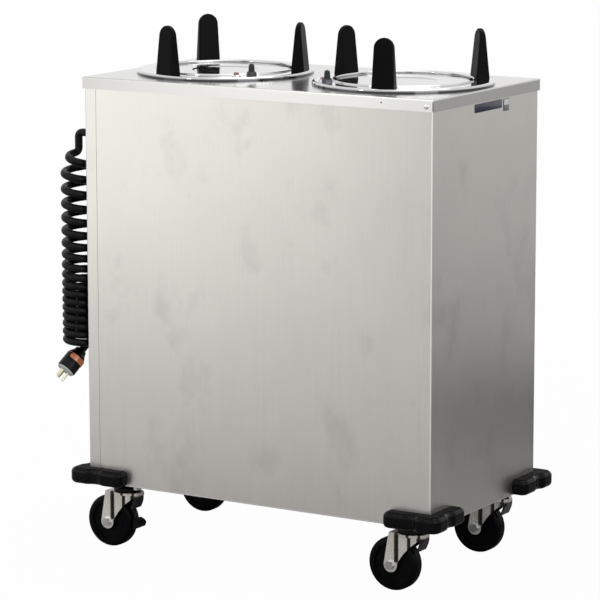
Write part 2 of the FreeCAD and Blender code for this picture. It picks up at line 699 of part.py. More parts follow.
def bumper():
    """One corner, drawn for the right rear: cabinet corner at 0, panels on x = 0 and y = 0."""
    leg, lobe, neck, reach = BUMPER_LEG, BUMPER_LOBE, BUMPER_NECK, BUMPER_REACH
    tip = BUMPER_END * (1 - math.sqrt(0.5))
    inset = BUMPER_CORNER * (1 - math.sqrt(0.5))
    dip = -leg + BUMPER_LOBE_LENGTH
    rise = dip + 2 * BUMPER_SWEEP + BUMPER_NECK_LENGTH
    side = [V(-leg, 0, 0),
            (V(-leg, lobe - BUMPER_END, 0), V(-leg + tip, lobe - tip, 0), V(-leg + BUMPER_END, lobe, 0))]
    side += ogee(V(dip, lobe, 0), V(dip + BUMPER_SWEEP, neck, 0))
    side += ogee(V(rise - BUMPER_SWEEP, neck, 0), V(rise, reach, 0))
    side.append((V(reach - BUMPER_CORNER, reach, 0), V(reach - inset, reach - inset, 0),
                 V(reach, reach - BUMPER_CORNER, 0)))

    def mirrored(item):
        if isinstance(item, tuple):
            return tuple(V(p.y, p.x, 0) for p in reversed(item))
        return V(item.y, item.x, 0)

    wire = outline(side + [mirrored(item) for item in reversed(side[:-1])] + [V(0, 0, 0)])
    body = Part.Face(wire).extrude(V(0, 0, BUMPER_HEIGHT))
    rim = [e for e in body.Edges if e.BoundBox.ZLength < NEAR and not on_panels(e)]
    return body.makeFillet(BUMPER_ROUND, rim)


def on_panels(edge):
    """True for an edge that lies against a panel."""
    return max(edge.BoundBox.XMax, edge.BoundBox.YMax) < NEAR


def bumpers():
    turns = {"rear_right": 0, "rear_left": 90, "front_left": 180, "front_right": 270}
    body = bumper()
    holes = []
    for start, way in bumper_screw_holes():
        depth = HALF_W - PAN_HALF_W + PAN_SHEET + SCREW_DEPTH
        holes.append(rod(SCREW_RADIUS, start, start + way * depth))
    for corner, (sx, sy) in CORNERS.items():
        piece = about_z(body, turns[corner], sx * HALF_W, sy * HALF_D)
        piece.translate(V(0, 0, Z_BASE))
        save("bumper_" + corner, piece.cut(holes))


def bumper_screws():
    screws = []
    for start, way in bumper_screw_holes():
        depth = HALF_W - PAN_HALF_W + PAN_SHEET + SCREW_DEPTH - 0.5
        head = hexagon(SCREW_HEX, start - way * SCREW_HEAD, start)
        screws.append(head.fuse(rod(SCREW_RADIUS, start, start + way * depth)))
    save("bumper_screws", screws)


# ---- plate wells ----
def ring_flange(centre, turn):
    """Spun flange: rolled outer edge, flat land, bead round the opening and a collar."""
    land, t = RING_LAND, RING_SHEET
    lip = WELL_RADIUS
    rim = RING_RADIUS
    crest = land + LIP_RISE
    bead = LIP_RISE + t
    skin = [V(rim, 0, 0.0),
            (V(rim, 0, land * 0.45), V(rim - 2, 0, land * 0.86), V(rim - 6.5, 0, land)),
            V(lip + bead + 1.8, 0, land),
            (V(lip + bead + 1, 0, land + 0.4), V(lip + bead * 0.5, 0, crest), V(lip, 0, land - 1)),
            V(lip, 0, -COLLAR_DEPTH),
            V(lip + t, 0, -COLLAR_DEPTH),
            V(lip + t, 0, land - 2.5),
            V(lip + bead, 0, land - t),
            V(rim - 7, 0, land - t),
            V(rim - t, 0, land * 0.4),
            V(rim - t, 0, 0)]
    ring = Part.Face(outline(skin)).revolve(V(0, 0, 0), V(0, 0, 1), 360)
    ring.translate(V(centre, 0, Z_TOP))
    lamp, switch = control_places(centre, turn)
    cutters = [Part.makeCylinder(LENS_RADIUS + LENS_FIT + BEZEL_WALL, 2 * land, V(lamp.x, lamp.y, Z_TOP)),
               Part.makeCylinder(BUSHING_RADIUS, 2 * land, V(switch.x, switch.y, Z_TOP))]
    return ring.cut(cutters)


def control_places(centre, turn):
    """Lamp and switch, side by side midway between the first post and the next."""
    middle = turn + CONTROL_TURN
    orbit = WELL_RADIUS + CONTROL_PLACE
    lamp = polar(orbit, middle - CONTROL_SPREAD, Z_LAND) + V(centre, 0, 0)
    switch = polar(orbit, middle + CONTROL_SPREAD, Z_LAND) + V(centre, 0, 0)
    return lamp, switch


def guide_posts(centre, turn):
    """Moulded posts: a tombstone seen from the well, a slim wedge seen from the side."""
    half, shoulder = POST_WIDTH / 2, POST_SHOULDER / 2
    straight = POST_HEIGHT - shoulder
    deep, tip = POST_DEPTH / 2, POST_TIP / 2
    face = outline([V(-deep, -half, 0),
                    (V(-deep, -shoulder, straight), V(-deep, 0, POST_HEIGHT), V(-deep, shoulder, straight)),
                    V(-deep, half, 0)])
    wedge = outline([V(-deep, -half - 1, 0), V(-tip, -half - 1, POST_HEIGHT + 1),
                     V(tip, -half - 1, POST_HEIGHT + 1), V(deep, -half - 1, 0)])
    post = Part.Face(face).extrude(V(POST_DEPTH, 0, 0))
    post = post.common(Part.Face(wedge).extrude(V(0, POST_WIDTH + 2, 0)))
    rims = [e for e in post.Edges if e.BoundBox.ZMax > 1
            and (e.BoundBox.ZLength > 1 or e.BoundBox.YLength > 1)]
    post = post.makeFillet(POST_ROUND, rims)
    post.translate(V(WELL_RADIUS + POST_PLACE, 0, Z_LAND))
    return [about_z(post, turn + 120 * k, centre) for k in range(3)]


def well_tube(centre, turn):
    """Slotted tube round the collar, with spring hangers on its outside."""
    low = Z_PAN + TUBE_BOTTOM
    high = Z_UNDER - TUBE_TOP
    outer = TUBE_RADIUS + TUBE_SHEET
    bore = Part.makeCylinder(TUBE_RADIUS, high - low, V(0, 0, low))
    bead = Part.makeTorus(outer, TUBE_BEAD, V(0, 0, low + 2 * TUBE_BEAD))
    shell = Part.makeCylinder(outer, high - low, V(0, 0, low)).fuse(bead).cut(bore)
    hanger_z = Z_UNDER - HANGER_DROP
    half = ARM_WIDTH / 2
    for k in range(3):
        slot = block(0, 2 * outer, -SLOT_WIDTH / 2, SLOT_WIDTH / 2, low + SLOT_FOOT, Z_ARM + SLOT_OVER)
        shelf = block(TUBE_RADIUS, ARM_REACH, -half, half, hanger_z - HANGER_SHEET, hanger_z).cut(bore)
        shell = shell.cut(about_z(slot, turn + 120 * k)).fuse(about_z(shelf, turn + 120 * k))
    shell.translate(V(centre, 0, 0))
    return shell


def carrier(centre, turn):
    """Round platform on three legs whose arms pass out through the tube's slots."""
    r, t = CARRIER_RADIUS, CARRIER_SHEET
    dish = CARRIER_DISH
    disc = turned([(0, -DISH_SINK), (dish, -DISH_SINK), (dish + 4, 0), (r - 3, 0), (r - 0.9, -0.9), (r, -3),
                   (r, -CARRIER_RIM), (r - t, -CARRIER_RIM), (r - t, -3.4), (r - 3.4, -t),
                   (dish + 4.6, -t), (dish + 0.6, -DISH_SINK - t), (0, -DISH_SINK - t)], z=Z_CARRIER)
    half = ARM_WIDTH / 2
    pieces = []
    for k in range(3):
        leg = block(LEG_RADIUS - ARM_THICK, LEG_RADIUS, -half, half, Z_ARM, Z_CARRIER - t)
        arm = block(LEG_RADIUS - ARM_THICK, ARM_REACH, -half, half, Z_ARM - ARM_THICK, Z_ARM)
        rib = block(LEG_RADIUS - LEG_RIB, LEG_RADIUS - ARM_THICK, -1, 1, Z_ARM - ARM_THICK, Z_CARRIER - t)
        pieces += [about_z(piece, turn + 120 * k) for piece in (leg, arm, rib)]
    body = disc.fuse(pieces).removeSplitter()
    body.translate(V(centre, 0, 0))
    return body


def springs(centre, turn):
    """Six extension springs from the hangers down to the arms, at their closed length."""
    high = Z_UNDER - HANGER_DROP - HANGER_SHEET
    low = Z_ARM
    orbit = ARM_REACH - SPRING_RADIUS - 1
    solids = []
    for k in range(3):
        for side in (-1, 1):
            foot = V(orbit, side * SPRING_SPREAD, low)
            coil = Part.makeCylinder(SPRING_RADIUS, high - low - 2 * SPRING_HOOK, foot + V(0, 0, SPRING_HOOK))
            hooks = Part.makeCylinder(SPRING_WIRE, high - low, foot)
            solids.append(about_z(coil.fuse(hooks), turn + 120 * k, centre))
    return solids


def wells():
    for side, (centre, turn) in WELLS.items():
        save(side + "_ring", ring_flange(centre, turn))
        save(side + "_guide_posts", guide_posts(centre, turn))
        save(side + "_tube", well_tube(centre, turn))
        save(side + "_carrier", carrier(centre, turn))
        save(side + "_springs", springs(centre, turn))


# ---- lamps and switches ----
def dome(radius, tip, top):
    """Slightly tapered cap round the switch lever, its foot inside the nut."""
    centre = top - tip
    foot = SWITCH_NUT_HEIGHT - BOOT_SEAT
    slant = tip * math.sqrt(0.5)
    wire = outline([V(0, 0, foot), V(radius - 0.6, 0, foot), V(radius, 0, foot + 2),
                    (V(tip, 0, centre), V(slant, 0, centre + slant), V(0, 0, top))])
    return Part.Face(wire).revolve(V(0, 0, 0), V(0, 0, 1), 360)


def lamp_bezel(place):
    bore = LENS_RADIUS + LENS_FIT
    skirt = bore + BEZEL_WALL
    return turned([(bore, -LAMP_DEPTH), (skirt, -LAMP_DEPTH), (skirt, 0), (BEZEL_RADIUS, 0),
                   (BEZEL_RADIUS, BEZEL_HEIGHT / 3), (BEZEL_RADIUS - 2, BEZEL_HEIGHT), (bore, BEZEL_HEIGHT)],
                  place.x, place.y, place.z)


def lamp_lens(place):
    r, top = LENS_RADIUS, LENS_HEIGHT
    return turned([(0, -LENS_DEPTH), (r, -LENS_DEPTH), (r, top - 3.0), (r - 0.8, top - 1.2), (r - 2.4, top),
                   (0, top)], place.x, place.y, place.z)


def switch_body(place, turn):
    """Housing under the ring, with the threaded bushing that the lever comes up through."""
    long, wide, deep = SWITCH_BODY
    top = -RING_SHEET
    box = block(-wide / 2, wide / 2, -long / 2, long / 2, top - deep, top)
    bushing = Part.makeCylinder(BUSHING_RADIUS - BUSHING_FIT, BUSHING_TOP - top + 1, V(0, 0, top - 1))
    well = Part.makeCylinder(TOGGLE_RADIUS + LEVER_CLEARANCE, deep, V(0, 0, -SWITCH_NUT_HEIGHT))
    body = about_z(box.fuse(bushing).cut(well), turn, place.x, place.y)
    return body.translated(V(0, 0, place.z))


def switch_nut(place, turn):
    high = SWITCH_NUT_HEIGHT
    flat = high * 0.75
    nut = hexagon(SWITCH_NUT, V(0, 0, 0), V(0, 0, flat))
    nut = nut.fuse(Part.makeCone(SWITCH_NUT * 0.5, SWITCH_NUT * 0.46, high - flat, V(0, 0, flat)))
    nut = nut.cut([Part.makeCylinder(BUSHING_RADIUS, BUSHING_TOP + 1, V(0, 0, -1)),
                   Part.makeCylinder(BOOT_RADIUS + BOOT_CLEARANCE, high, V(0, 0, BUSHING_TOP))])
    return about_z(nut, turn, place.x, place.y).translated(V(0, 0, place.z))


def controls():
    bezels, lenses, bodies, nuts = [], [], [], []
    inside = dome(BOOT_RADIUS - BOOT_WALL, BOOT_TIP - BOOT_WALL, BOOT_HEIGHT - BOOT_WALL)
    boot = dome(BOOT_RADIUS, BOOT_TIP, BOOT_HEIGHT).cut(inside)
    foot = V(0, 0, BUSHING_TOP - 1)
    lever = Part.makeCylinder(TOGGLE_RADIUS, BOOT_HEIGHT, foot)
    lever = lever.common(inside.fuse(Part.makeCylinder(BOOT_RADIUS, BOOT_HEIGHT / 2, foot)))
    for side, (centre, turn) in WELLS.items():
        lamp, switch = control_places(centre, turn)
        bezels.append(lamp_bezel(lamp))
        lenses.append(lamp_lens(lamp))
        bodies.append(switch_body(switch, turn + CONTROL_TURN + CONTROL_SPREAD))
        nuts.append(switch_nut(switch, turn + CONTROL_TURN))
        save(side + "_switch_boot", boot.translated(switch))
        save(side + "_toggle", lever.translated(switch))
    save("lamp_bezels", bezels)
    save("lamp_lenses", lenses)
    save("switch_bodies", bodies)
    save("switch_nuts", nuts)


# ---- heating and wiring ----
def heaters():
    """An open ring of sheathed element on three feet, one under each well."""
    solids = []
    z = Z_PAN + HEATER_STAND
    for centre, _ in WELLS.values():
        ring = Part.makeTorus(HEATER_RADIUS, HEATER_ROD, V(0, 0, z), V(0, 0, 1), 0, 360, HEATER_SWEEP)
        ends = [rod(HEATER_ROD, polar(HEATER_RADIUS, a, z), polar(HEATER_RADIUS, a, Z_PAN))
                for a in (0, HEATER_SWEEP)]
        feet = [rod(HEATER_FOOT, polar(HEATER_RADIUS, a, Z_PAN), polar(HEATER_RADIUS, a, z))
                for a in HEATER_FEET]
        solids.append(about_z(ring.fuse(ends + feet), -HEATER_SWEEP / 2, centre))
    save("heaters", solids)


def thermostats():
    long, wide, high = THERMOSTAT
    radius, rise = SPINDLE
    solids = []
    y = -PAN_HALF_D + PAN_SHEET + wide / 2 + THERMOSTAT_GAP
    for centre, _ in WELLS.values():
        box = block(centre - long / 2, centre + long / 2, y - wide / 2, y + wide / 2, Z_PAN, Z_PAN + high)
        spindle = rod(radius, V(centre, y, Z_PAN + high), V(centre, y, Z_PAN + high + rise))
        solids.append(box.fuse(spindle))
    save("thermostats", solids)


def junction_box():
    deep, wide, high = (size / 2 for size in JUNCTION_BOX)
    box = block(-deep, deep, -wide, wide, -high, high)
    t = BOX_WALL
    box = box.cut(block(-deep + t, deep - t, -wide + t, wide - t, -high + t, high - t))
    box.translate(V(-HALF_W + PANEL_SHEET + deep, GLAND_Y, GLAND_Z))
    save("junction_box", box.cut(gland_hole()))


def bent_tube(points, radius, name):
    """Tube of straight runs joined by tangent arcs; prints its bends and checks its volume."""
    edges = []
    last = points[0]
    radii = []
    for before, here, after in zip(points, points[1:], points[2:]):
        into, out = (here - before), (after - here)
        shorter = min(into.Length, out.Length)
        into, out = into.normalize(), out.normalize()
        turn = math.acos(max(-1.0, min(1.0, into.dot(out))))
        cut = 0.45 * shorter
        radii.append(cut / math.tan(turn / 2))
        start, end = here - into * cut, here + out * cut
        centre_way = (out - into).normalize()
        middle = here + centre_way * (radii[-1] / math.cos(turn / 2) - radii[-1])
        edges += [line(last, start), arc(start, middle, end)]
        last = end
    edges.append(line(last, points[-1]))
    path = Part.Wire(edges)
    way = (points[1] - points[0]).normalize()
    section = Part.Wire(Part.makeCircle(radius, points[0], way))
    tube = sweep(path, section)
    ideal = math.pi * radius ** 2 * path.Length
    print(name, "bend radii", [round(r, 1) for r in radii], "length", round(path.Length, 1),
          "volume ratio", round(tube.Volume / ideal, 4))
    return tube


def sweep(path, section):
    shell = Part.BRepOffsetAPI.MakePipeShell(path)
    shell.add(section)
    shell.build()
    shell.makeSolid()
    return shell.shape()


def wiring_harness():
    """Leads from the junction box: one up to each switch, one down to the heaters."""
    deep, wide, high = JUNCTION_BOX
    out = V(LEAD_SWAY / 3, 0, 0)
    x = -HALF_W + PANEL_SHEET + deep
    y = -HALF_D + LEAD_INSET
    left, right = (control_places(*well)[1] for well in WELLS.values())
    under = V(0, 0, -RING_SHEET - SWITCH_BODY[2])
    below = under - V(0, 0, LEAD_SWAY)

    start = V(x, GLAND_Y, GLAND_Z + high / 4)
    level = left.z + under.z - LEFT_LEAD_DROP
    runs = [bent_tube([start, start + out, V(x + LEAD_SWAY, y, level), V(left.x - LEAD_SWAY, y, level),
                       left + below, left + under], LEAD_RADIUS, "left lead")]
    start = V(x, GLAND_Y, GLAND_Z - high / 4)
    level = right.z + under.z - RIGHT_LEAD_DROP
    runs.append(bent_tube([start, start + out, V(x + LEAD_SWAY, y, level),
                           V(right.x - LEAD_SWAY / 2, y, level), right + below, right + under],
                          LEAD_RADIUS, "right lead"))
    start = V(-HALF_W + PANEL_SHEET + deep / 2, GLAND_Y, GLAND_Z - high / 2)
    over = Z_PAN + CHANNEL_HEIGHT + LEAD_LIFT
    end = V(WELLS["left"][0] - THERMOSTAT[0] / 2, y + LEAD_SWAY / 6, Z_PAN + THERMOSTAT[2] / 2)
    runs.append(bent_tube([start, V(start.x, start.y, over + LEAD_SWAY), V(-KING_X, end.y, over),
                           V(-KING_X + LEAD_SWAY, end.y, over), end - out, end], LEAD_RADIUS, "heater lead"))
    save("wiring_harness", runs)


# ---- mains cord ----
def cord_gland():
    """Tapered strain relief screwed through the panel, the cord in its mouth."""
    r, nut, mouth, length = GLAND_RADIUS, GLAND_NUT, GLAND_MOUTH, GLAND_LENGTH
    gland = turned([(0, -nut), (GLAND_THREAD, -nut), (GLAND_THREAD, 0), (r, 0), (r, nut - 1), (r - 1, nut),
                    (r - 2, nut), (mouth + 0.4, length - 1.2), (mouth, length), (0, length)])
    socket = V(0, 0, length - GLAND_SOCKET)
    gland = gland.cut(Part.makeCylinder(CORD_RADIUS + SOCKET_CLEARANCE, 2 * GLAND_SOCKET, socket))
    seat = V(-HALF_W, GLAND_Y, GLAND_Z)
    gland.Placement = FreeCAD.Placement(seat, FreeCAD.Rotation(V(0, 0, 1), V(-1, 0, 0)))
    save("cord_gland", gland)


def coil_point(turns):
    """Centreline of the coil after so many turns, and its direction."""
    def place(n):
        closing = min(n, OPEN_TURNS)
        drop = OPEN_PITCH * closing - (OPEN_PITCH - CLOSED_PITCH) * closing ** 2 / (2 * OPEN_TURNS)
        drop += CLOSED_PITCH * max(0.0, n - OPEN_TURNS)
        ease = min(n, 1.0)
        radius = COIL_START_RADIUS + (COIL_RADIUS - COIL_START_RADIUS) * ease * ease * (3 - 2 * ease)
        return V(COIL_X, COIL_Y, COIL_TOP - drop) + polar(radius, COIL_START + 360 * n)

    step = 1e-4
    way = place(turns + step) - place(max(turns - step, 0.0))
    return place(turns), way.normalize()


def biarc(a, way_a, b, way_b):
    """Two tangent arcs from a to b with the given end directions."""
    span = b - a
    both = way_a + way_b
    square = both.dot(both) - 4.0
    linear = -2.0 * span.dot(both)
    constant = span.dot(span)
    reach = (-linear - math.sqrt(linear ** 2 - 4 * square * constant)) / (2 * square)
    corner_a = a + way_a * reach
    corner_b = b - way_b * reach
    joint = (corner_a + corner_b) * 0.5
    return [through_corner(a, corner_a, joint), through_corner(joint, corner_b, b)]


def through_corner(start, corner, end):
    """Arc from start to end, tangent to the two equal runs that meet at corner."""
    into, out = (corner - start).normalize(), (end - corner).normalize()
    turn = math.acos(max(-1.0, min(1.0, into.dot(out))))
    radius = (corner - start).Length / math.tan(turn / 2)
    inward = (out - into).normalize()
    middle = corner + inward * (radius / math.cos(turn / 2) - radius)
    return arc(start, middle, end)


def coil_path():
    """Out of the gland, down, round the coil and over into the plug."""
    straight = 2 * CORD_RADIUS
    start = V(-HALF_W - GLAND_LENGTH + GLAND_SOCKET, GLAND_Y, GLAND_Z)
    out = start - V(straight, 0, 0)
    exit_bend = out.x - DROP_X
    down = V(DROP_X, GLAND_Y, GLAND_Z - exit_bend)
    here, way = coil_point(0.0)
    above = V(DROP_X, GLAND_Y, here.z + COIL_BEND)
    edges = [line(start, out), through_corner(out, V(DROP_X, GLAND_Y, GLAND_Z), down), line(down, above)]
    edges += biarc(above, V(0, 0, -1), here, way)
    steps = round(4 * COIL_TURNS)
    for k in range(1, steps + 1):
        there, next_way = coil_point(COIL_TURNS * k / steps)
        edges += biarc(here, way, there, next_way)
        here, way = there, next_way
    axis = V(PLUG_AXIS).normalize()
    across = (way + axis).normalize()
    chord = 2 * COIL_BEND * math.sin(math.acos(way.dot(axis)) / 2)
    turned_down = here + across * chord
    edges += biarc(here, way, turned_down, axis)
    end = turned_down + axis * straight
    edges.append(line(turned_down, end))
    print("exit bend radius", round(exit_bend, 1), "bends into and out of the coil", COIL_BEND)
    return edges, start, end


def least_gap(edges):
    """Smallest distance between stretches of the cord more than half a turn apart."""
    points = []
    for edge in edges:
        count = max(2, int(2 * edge.Length / CORD_RADIUS))
        points += edge.discretize(count)[:-1]
    travelled = [0.0]
    for p, q in zip(points, points[1:]):
        travelled.append(travelled[-1] + (q - p).Length)
    half_turn = math.pi * COIL_RADIUS
    near = 2 * OPEN_PITCH
    gaps = [p.distanceToPoint(points[j]) for i, p in enumerate(points) for j in range(i + 1, len(points))
            if travelled[j] - travelled[i] > half_turn and abs(points[j].z - p.z) < near]
    return min(gaps) - 2 * CORD_RADIUS


def cord():
    edges, start, end = coil_path()
    coil = sweep(Part.Wire(edges), Part.Wire(Part.makeCircle(CORD_RADIUS, start, V(-1, 0, 0))))
    length = sum(edge.Length for edge in edges)
    print("cord length", round(length, 1), "least gap", round(least_gap(edges), 2),
          "volume ratio", round(coil.Volume / (math.pi * CORD_RADIUS ** 2 * length), 4))
    save("cord_coil", coil)
    plug(end)


def plug(end):
    """Plug on the cord's lower end, its axis along PLUG_AXIS."""
    r, n, length = PLUG_RADIUS, PLUG_NECK, PLUG_LENGTH
    rim = length - PLUG_FACE
    body = turned([(0, 0), (n, 0), (n + 1.5, 1.5), (n + 3, 7), (r - 2.4, 13), (r - 1.2, 16), (r - 1.2, 18),
                   (r - 0.2, 18.6), (r - 0.2, 30), (r - 1.0, 30.6), (r - 1.0, 32), (r, 32.8), (r, rim - 1.5),
                   (r - 1.6, rim), (0, rim)])
    body = body.cut(Part.makeCylinder(CORD_RADIUS + SOCKET_CLEARANCE, PLUG_SOCKET))
    face = turned([(0, rim), (r - 1.8, rim), (r - 2.2, length), (0, length)])
    wide, thick = BLADE_WIDTH / 2, BLADE_THICK / 2
    blade = block(BLADE_PLACE - wide, BLADE_PLACE + wide, -thick, thick, length, length + BLADE_LENGTH)
    prongs = [blade.translated(V(0, side * BLADE_SPACING / 2, 0)) for side in (-1, 1)]
    prongs.append(Part.makeCylinder(PIN_RADIUS, PIN_LENGTH, V(BLADE_PLACE + PIN_SPACING, 0, length)))
    axis = V(PLUG_AXIS).normalize()
    rear = end - axis * PLUG_SOCKET
    seat = FreeCAD.Placement(rear, FreeCAD.Rotation(PLUG_ACROSS, V(0, 0, 0), axis, "ZXY"))
    for name, solids in (("plug_body", [body]), ("plug_face", [face]), ("plug_prongs", prongs)):
        for solid in solids:
            solid.Placement = seat.multiply(solid.Placement)
        save(name, solids)


os.makedirs("parts", exist_ok=True)
wraps()
seam_strips()
top_deck()
deck_rivets()
base_pan()
caster_channels()
caster_bolts()
casters()
bumpers()
bumper_screws()
wells()
controls()
heaters()
thermostats()
junction_box()
wiring_harness()
cord_gland()
cord()
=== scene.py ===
# Looks of the heated plate dispenser cart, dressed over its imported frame. Metres.
import math

import bmesh
import bpy
from mathutils import Matrix, Vector


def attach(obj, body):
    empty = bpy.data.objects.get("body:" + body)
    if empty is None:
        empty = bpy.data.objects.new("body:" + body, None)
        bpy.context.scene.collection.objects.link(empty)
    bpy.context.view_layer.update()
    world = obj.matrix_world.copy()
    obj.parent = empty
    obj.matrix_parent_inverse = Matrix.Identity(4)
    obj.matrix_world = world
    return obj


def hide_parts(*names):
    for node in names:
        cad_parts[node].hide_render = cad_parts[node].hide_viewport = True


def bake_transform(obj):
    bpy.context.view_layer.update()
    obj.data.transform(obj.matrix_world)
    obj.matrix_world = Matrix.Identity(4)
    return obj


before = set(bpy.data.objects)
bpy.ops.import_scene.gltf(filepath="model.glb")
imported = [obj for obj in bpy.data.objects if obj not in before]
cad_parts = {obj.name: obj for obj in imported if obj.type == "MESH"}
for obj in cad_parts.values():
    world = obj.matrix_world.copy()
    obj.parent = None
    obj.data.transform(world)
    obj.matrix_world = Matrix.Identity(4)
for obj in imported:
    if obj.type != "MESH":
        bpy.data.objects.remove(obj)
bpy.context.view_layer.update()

# ---- the photograph's camera ----
CAMERA_AZIMUTH = math.radians(31.503)       # to the right of straight on to the front
CAMERA_HEIGHT = math.radians(10.164)        # angle above level
CAMERA_ROLL = math.radians(-0.0945)
CAMERA_TARGET = Vector((-0.0238, 0.0, 0.4884))
CAMERA_DISTANCE = 6.1389
LENS = 193.07
SENSOR = 36.0

# ---- the cart, as its source gives it ----
HALF_WIDTH = 0.376
DECK_TOP = 0.9158
PANEL_FOOT = 0.1318
WELLS = {"left": (-0.1897, -104.0), "right": (0.2012, 166.0)}      # centre's x and turn
CORNERS = ("front_left", "front_right", "rear_left", "rear_right")
KINGPIN = (0.3159, 0.1623)
TRAIL = 0.035
LEG_INSIDE = 0.017                          # inner face of a fork's leg, from its middle
AXLE_HEIGHT = 0.0508
CROWN_UNDER = 0.1085                        # underside of a fork's crown
# A fork's pressed ribs, with painted shade in their hollows: distance past the axle, half width and the soft
# rim beside it.
RIB_PAINTED_SHADOWS = ((0.0125, 0.0040, 0.0012), (0.0395, 0.0022, 0.0014), (0.0585, 0.0016, 0.0012))
RIB_FOOT = (0.002, 0.008)                   # where their painted shade fades in above the axle

# ---- the carriers' springs, six to a well, at their closed length ----
SPRING_TOP = 0.8983
SPRING_FOOT = 0.7434
SPRING_ORBIT = 0.140
SPRING_SPREAD = 0.0072
SPRING_RADIUS = 0.0051
SPRING_WIRE = 0.0009
SPRING_HOOK = 0.0036
SPRING_TURNS = 78

# ---- painted highlights and shadows that the materials draw, as distances past an edge ----
FOOT_PAINTED_HIGHLIGHT = (0.0020, 0.0032)               # painted highlight along the panels' folded foot
RIM_SHADOW = (0.0022, 0.0052)               # painted shadow under a ring's rolled edge
LEG_SHADOW = (0.0003, 0.0008)               # painted shadow past a fork leg's inner face
CROWN_FADE = 0.004                          # fade of that painted shadow, below CROWN_UNDER

# ---- small plates and marks, placed from the photograph ----
PLATE_FACE = 0.3761
NAMEPLATE = (-0.046, 0.058, 0.8755, 0.8915)
RATING_PLATE = (0.065, 0.0856, 0.8683, 0.8907)
FLANGE_SCREW = (0.273, -0.206, 0.9053)

# ---- the cord's route, in the source's sizes ----
CORD_DIAMETER = 0.015
GLAND_LENGTH = 0.024
GLAND_SOCKET = 0.010
GLAND_HEIGHT = 0.803
COIL_AXIS = (-0.412, -0.180)
COIL_RADIUS = 0.0248
COIL_START_RADIUS = 0.015
COIL_TOP = 0.7634
COIL_TURNS = 17.71
OPEN_PITCH = 0.0326
CLOSED_PITCH = 0.01555
OPEN_TURNS = 10.7
COIL_START = 160.0
COIL_BEND = 0.015
PLUG_AXIS = Vector((-0.283, -0.666, -0.690)).normalized()
PLUG_REAR = Vector((-0.4171, -0.1649, 0.3797))
PLUG_BAND = (0.0188, 0.0298, 0.01935)        # from, to and radius
POINTS_PER_TURN = 16


def place_camera():
    data = bpy.data.cameras.new("camera")
    data.lens = LENS
    data.sensor_width = SENSOR
    data.clip_end = 50.0
    camera = bpy.data.objects.new("camera", data)
    bpy.context.scene.collection.objects.link(camera)
    back = Vector((math.sin(CAMERA_AZIMUTH) * math.cos(CAMERA_HEIGHT),
                   -math.cos(CAMERA_AZIMUTH) * math.cos(CAMERA_HEIGHT), math.sin(CAMERA_HEIGHT)))
    right = Vector((math.cos(CAMERA_AZIMUTH), math.sin(CAMERA_AZIMUTH), 0.0))
    right = Matrix.Rotation(CAMERA_ROLL, 3, back) @ right
    up = back.cross(right)
    turn = Matrix((right, up, back)).transposed().to_4x4()
    camera.matrix_world = Matrix.Translation(CAMERA_TARGET + back * CAMERA_DISTANCE) @ turn
    bpy.context.scene.camera = camera


# ---- materials ----
class Finish:
    """A procedural material in the making: its shader and the nodes that feed it."""

    def __init__(self, name, **constants):
        self.material = bpy.data.materials.new(name)
        self.material.use_nodes = True
        self.nodes = self.material.node_tree.nodes
        self.links = self.material.node_tree.links
        self.shader = self.nodes["Principled BSDF"]
        for socket, value in constants.items():
            self.shader.inputs[socket.replace("_", " ")].default_value = value
        coordinates = self.nodes.new("ShaderNodeTexCoord")
        self.place = coordinates.outputs["Object"]
        self.facing = coordinates.outputs["Normal"]

    def mapped(self, scale):
        """The piece's coordinates, multiplied by a scale on each axis."""
        node = self.nodes.new("ShaderNodeMapping")
        node.vector_type = "TEXTURE"
        node.inputs["Scale"].default_value = [1 / s for s in scale]
        self.links.new(self.place, node.inputs["Vector"])
        return node.outputs[0]

    def noise(self, scale, stretch=(1, 1, 1), detail=4.0, roughness=0.55):
        node = self.nodes.new("ShaderNodeTexNoise")
        node.inputs["Scale"].default_value = scale
        node.inputs["Detail"].default_value = detail
        node.inputs["Roughness"].default_value = roughness
        self.links.new(self.mapped(stretch), node.inputs["Vector"])
        return node.outputs["Fac"]

    def spread(self, value, low, high, start=0.3, end=0.7):
        """Map a value between start and end to the range from low to high."""
        node = self.nodes.new("ShaderNodeMapRange")
        node.inputs["From Min"].default_value = start
        node.inputs["From Max"].default_value = end
        node.inputs["To Min"].default_value = low
        node.inputs["To Max"].default_value = high
        self.links.new(value, node.inputs["Value"])
        return node.outputs["Result"]

    def math(self, operation, a, b):
        node = self.nodes.new("ShaderNodeMath")
        node.operation = operation
        for socket, value in zip(node.inputs, (a, b)):
            if hasattr(value, "is_output"):
                self.links.new(value, socket)
            else:
                socket.default_value = value
        return node.outputs[0]

    def blend(self, factor, first, second):
        """Mix two colours, or colour outputs, by a factor output."""
        node = self.nodes.new("ShaderNodeMix")
        node.data_type = "RGBA"
        self.links.new(factor, node.inputs["Factor"])
        for socket, value in ((node.inputs[6], first), (node.inputs[7], second)):
            if hasattr(value, "is_output"):
                self.links.new(value, socket)
            else:
                socket.default_value = (*value, 1.0)
        return node.outputs[2]

    def axes(self, vector):
        """A vector's x, y and z as three outputs."""
        node = self.nodes.new("ShaderNodeSeparateXYZ")
        self.links.new(vector, node.inputs[0])
        return node.outputs

    def bump(self, height, distance):
        node = self.nodes.new("ShaderNodeBump")
        node.inputs["Distance"].default_value = distance
        node.inputs["Strength"].default_value = 1.0
        self.links.new(height, node.inputs["Height"])
        self.feed("Normal", node.outputs["Normal"])

    def feed(self, socket, value):
        self.links.new(value, self.shader.inputs[socket])


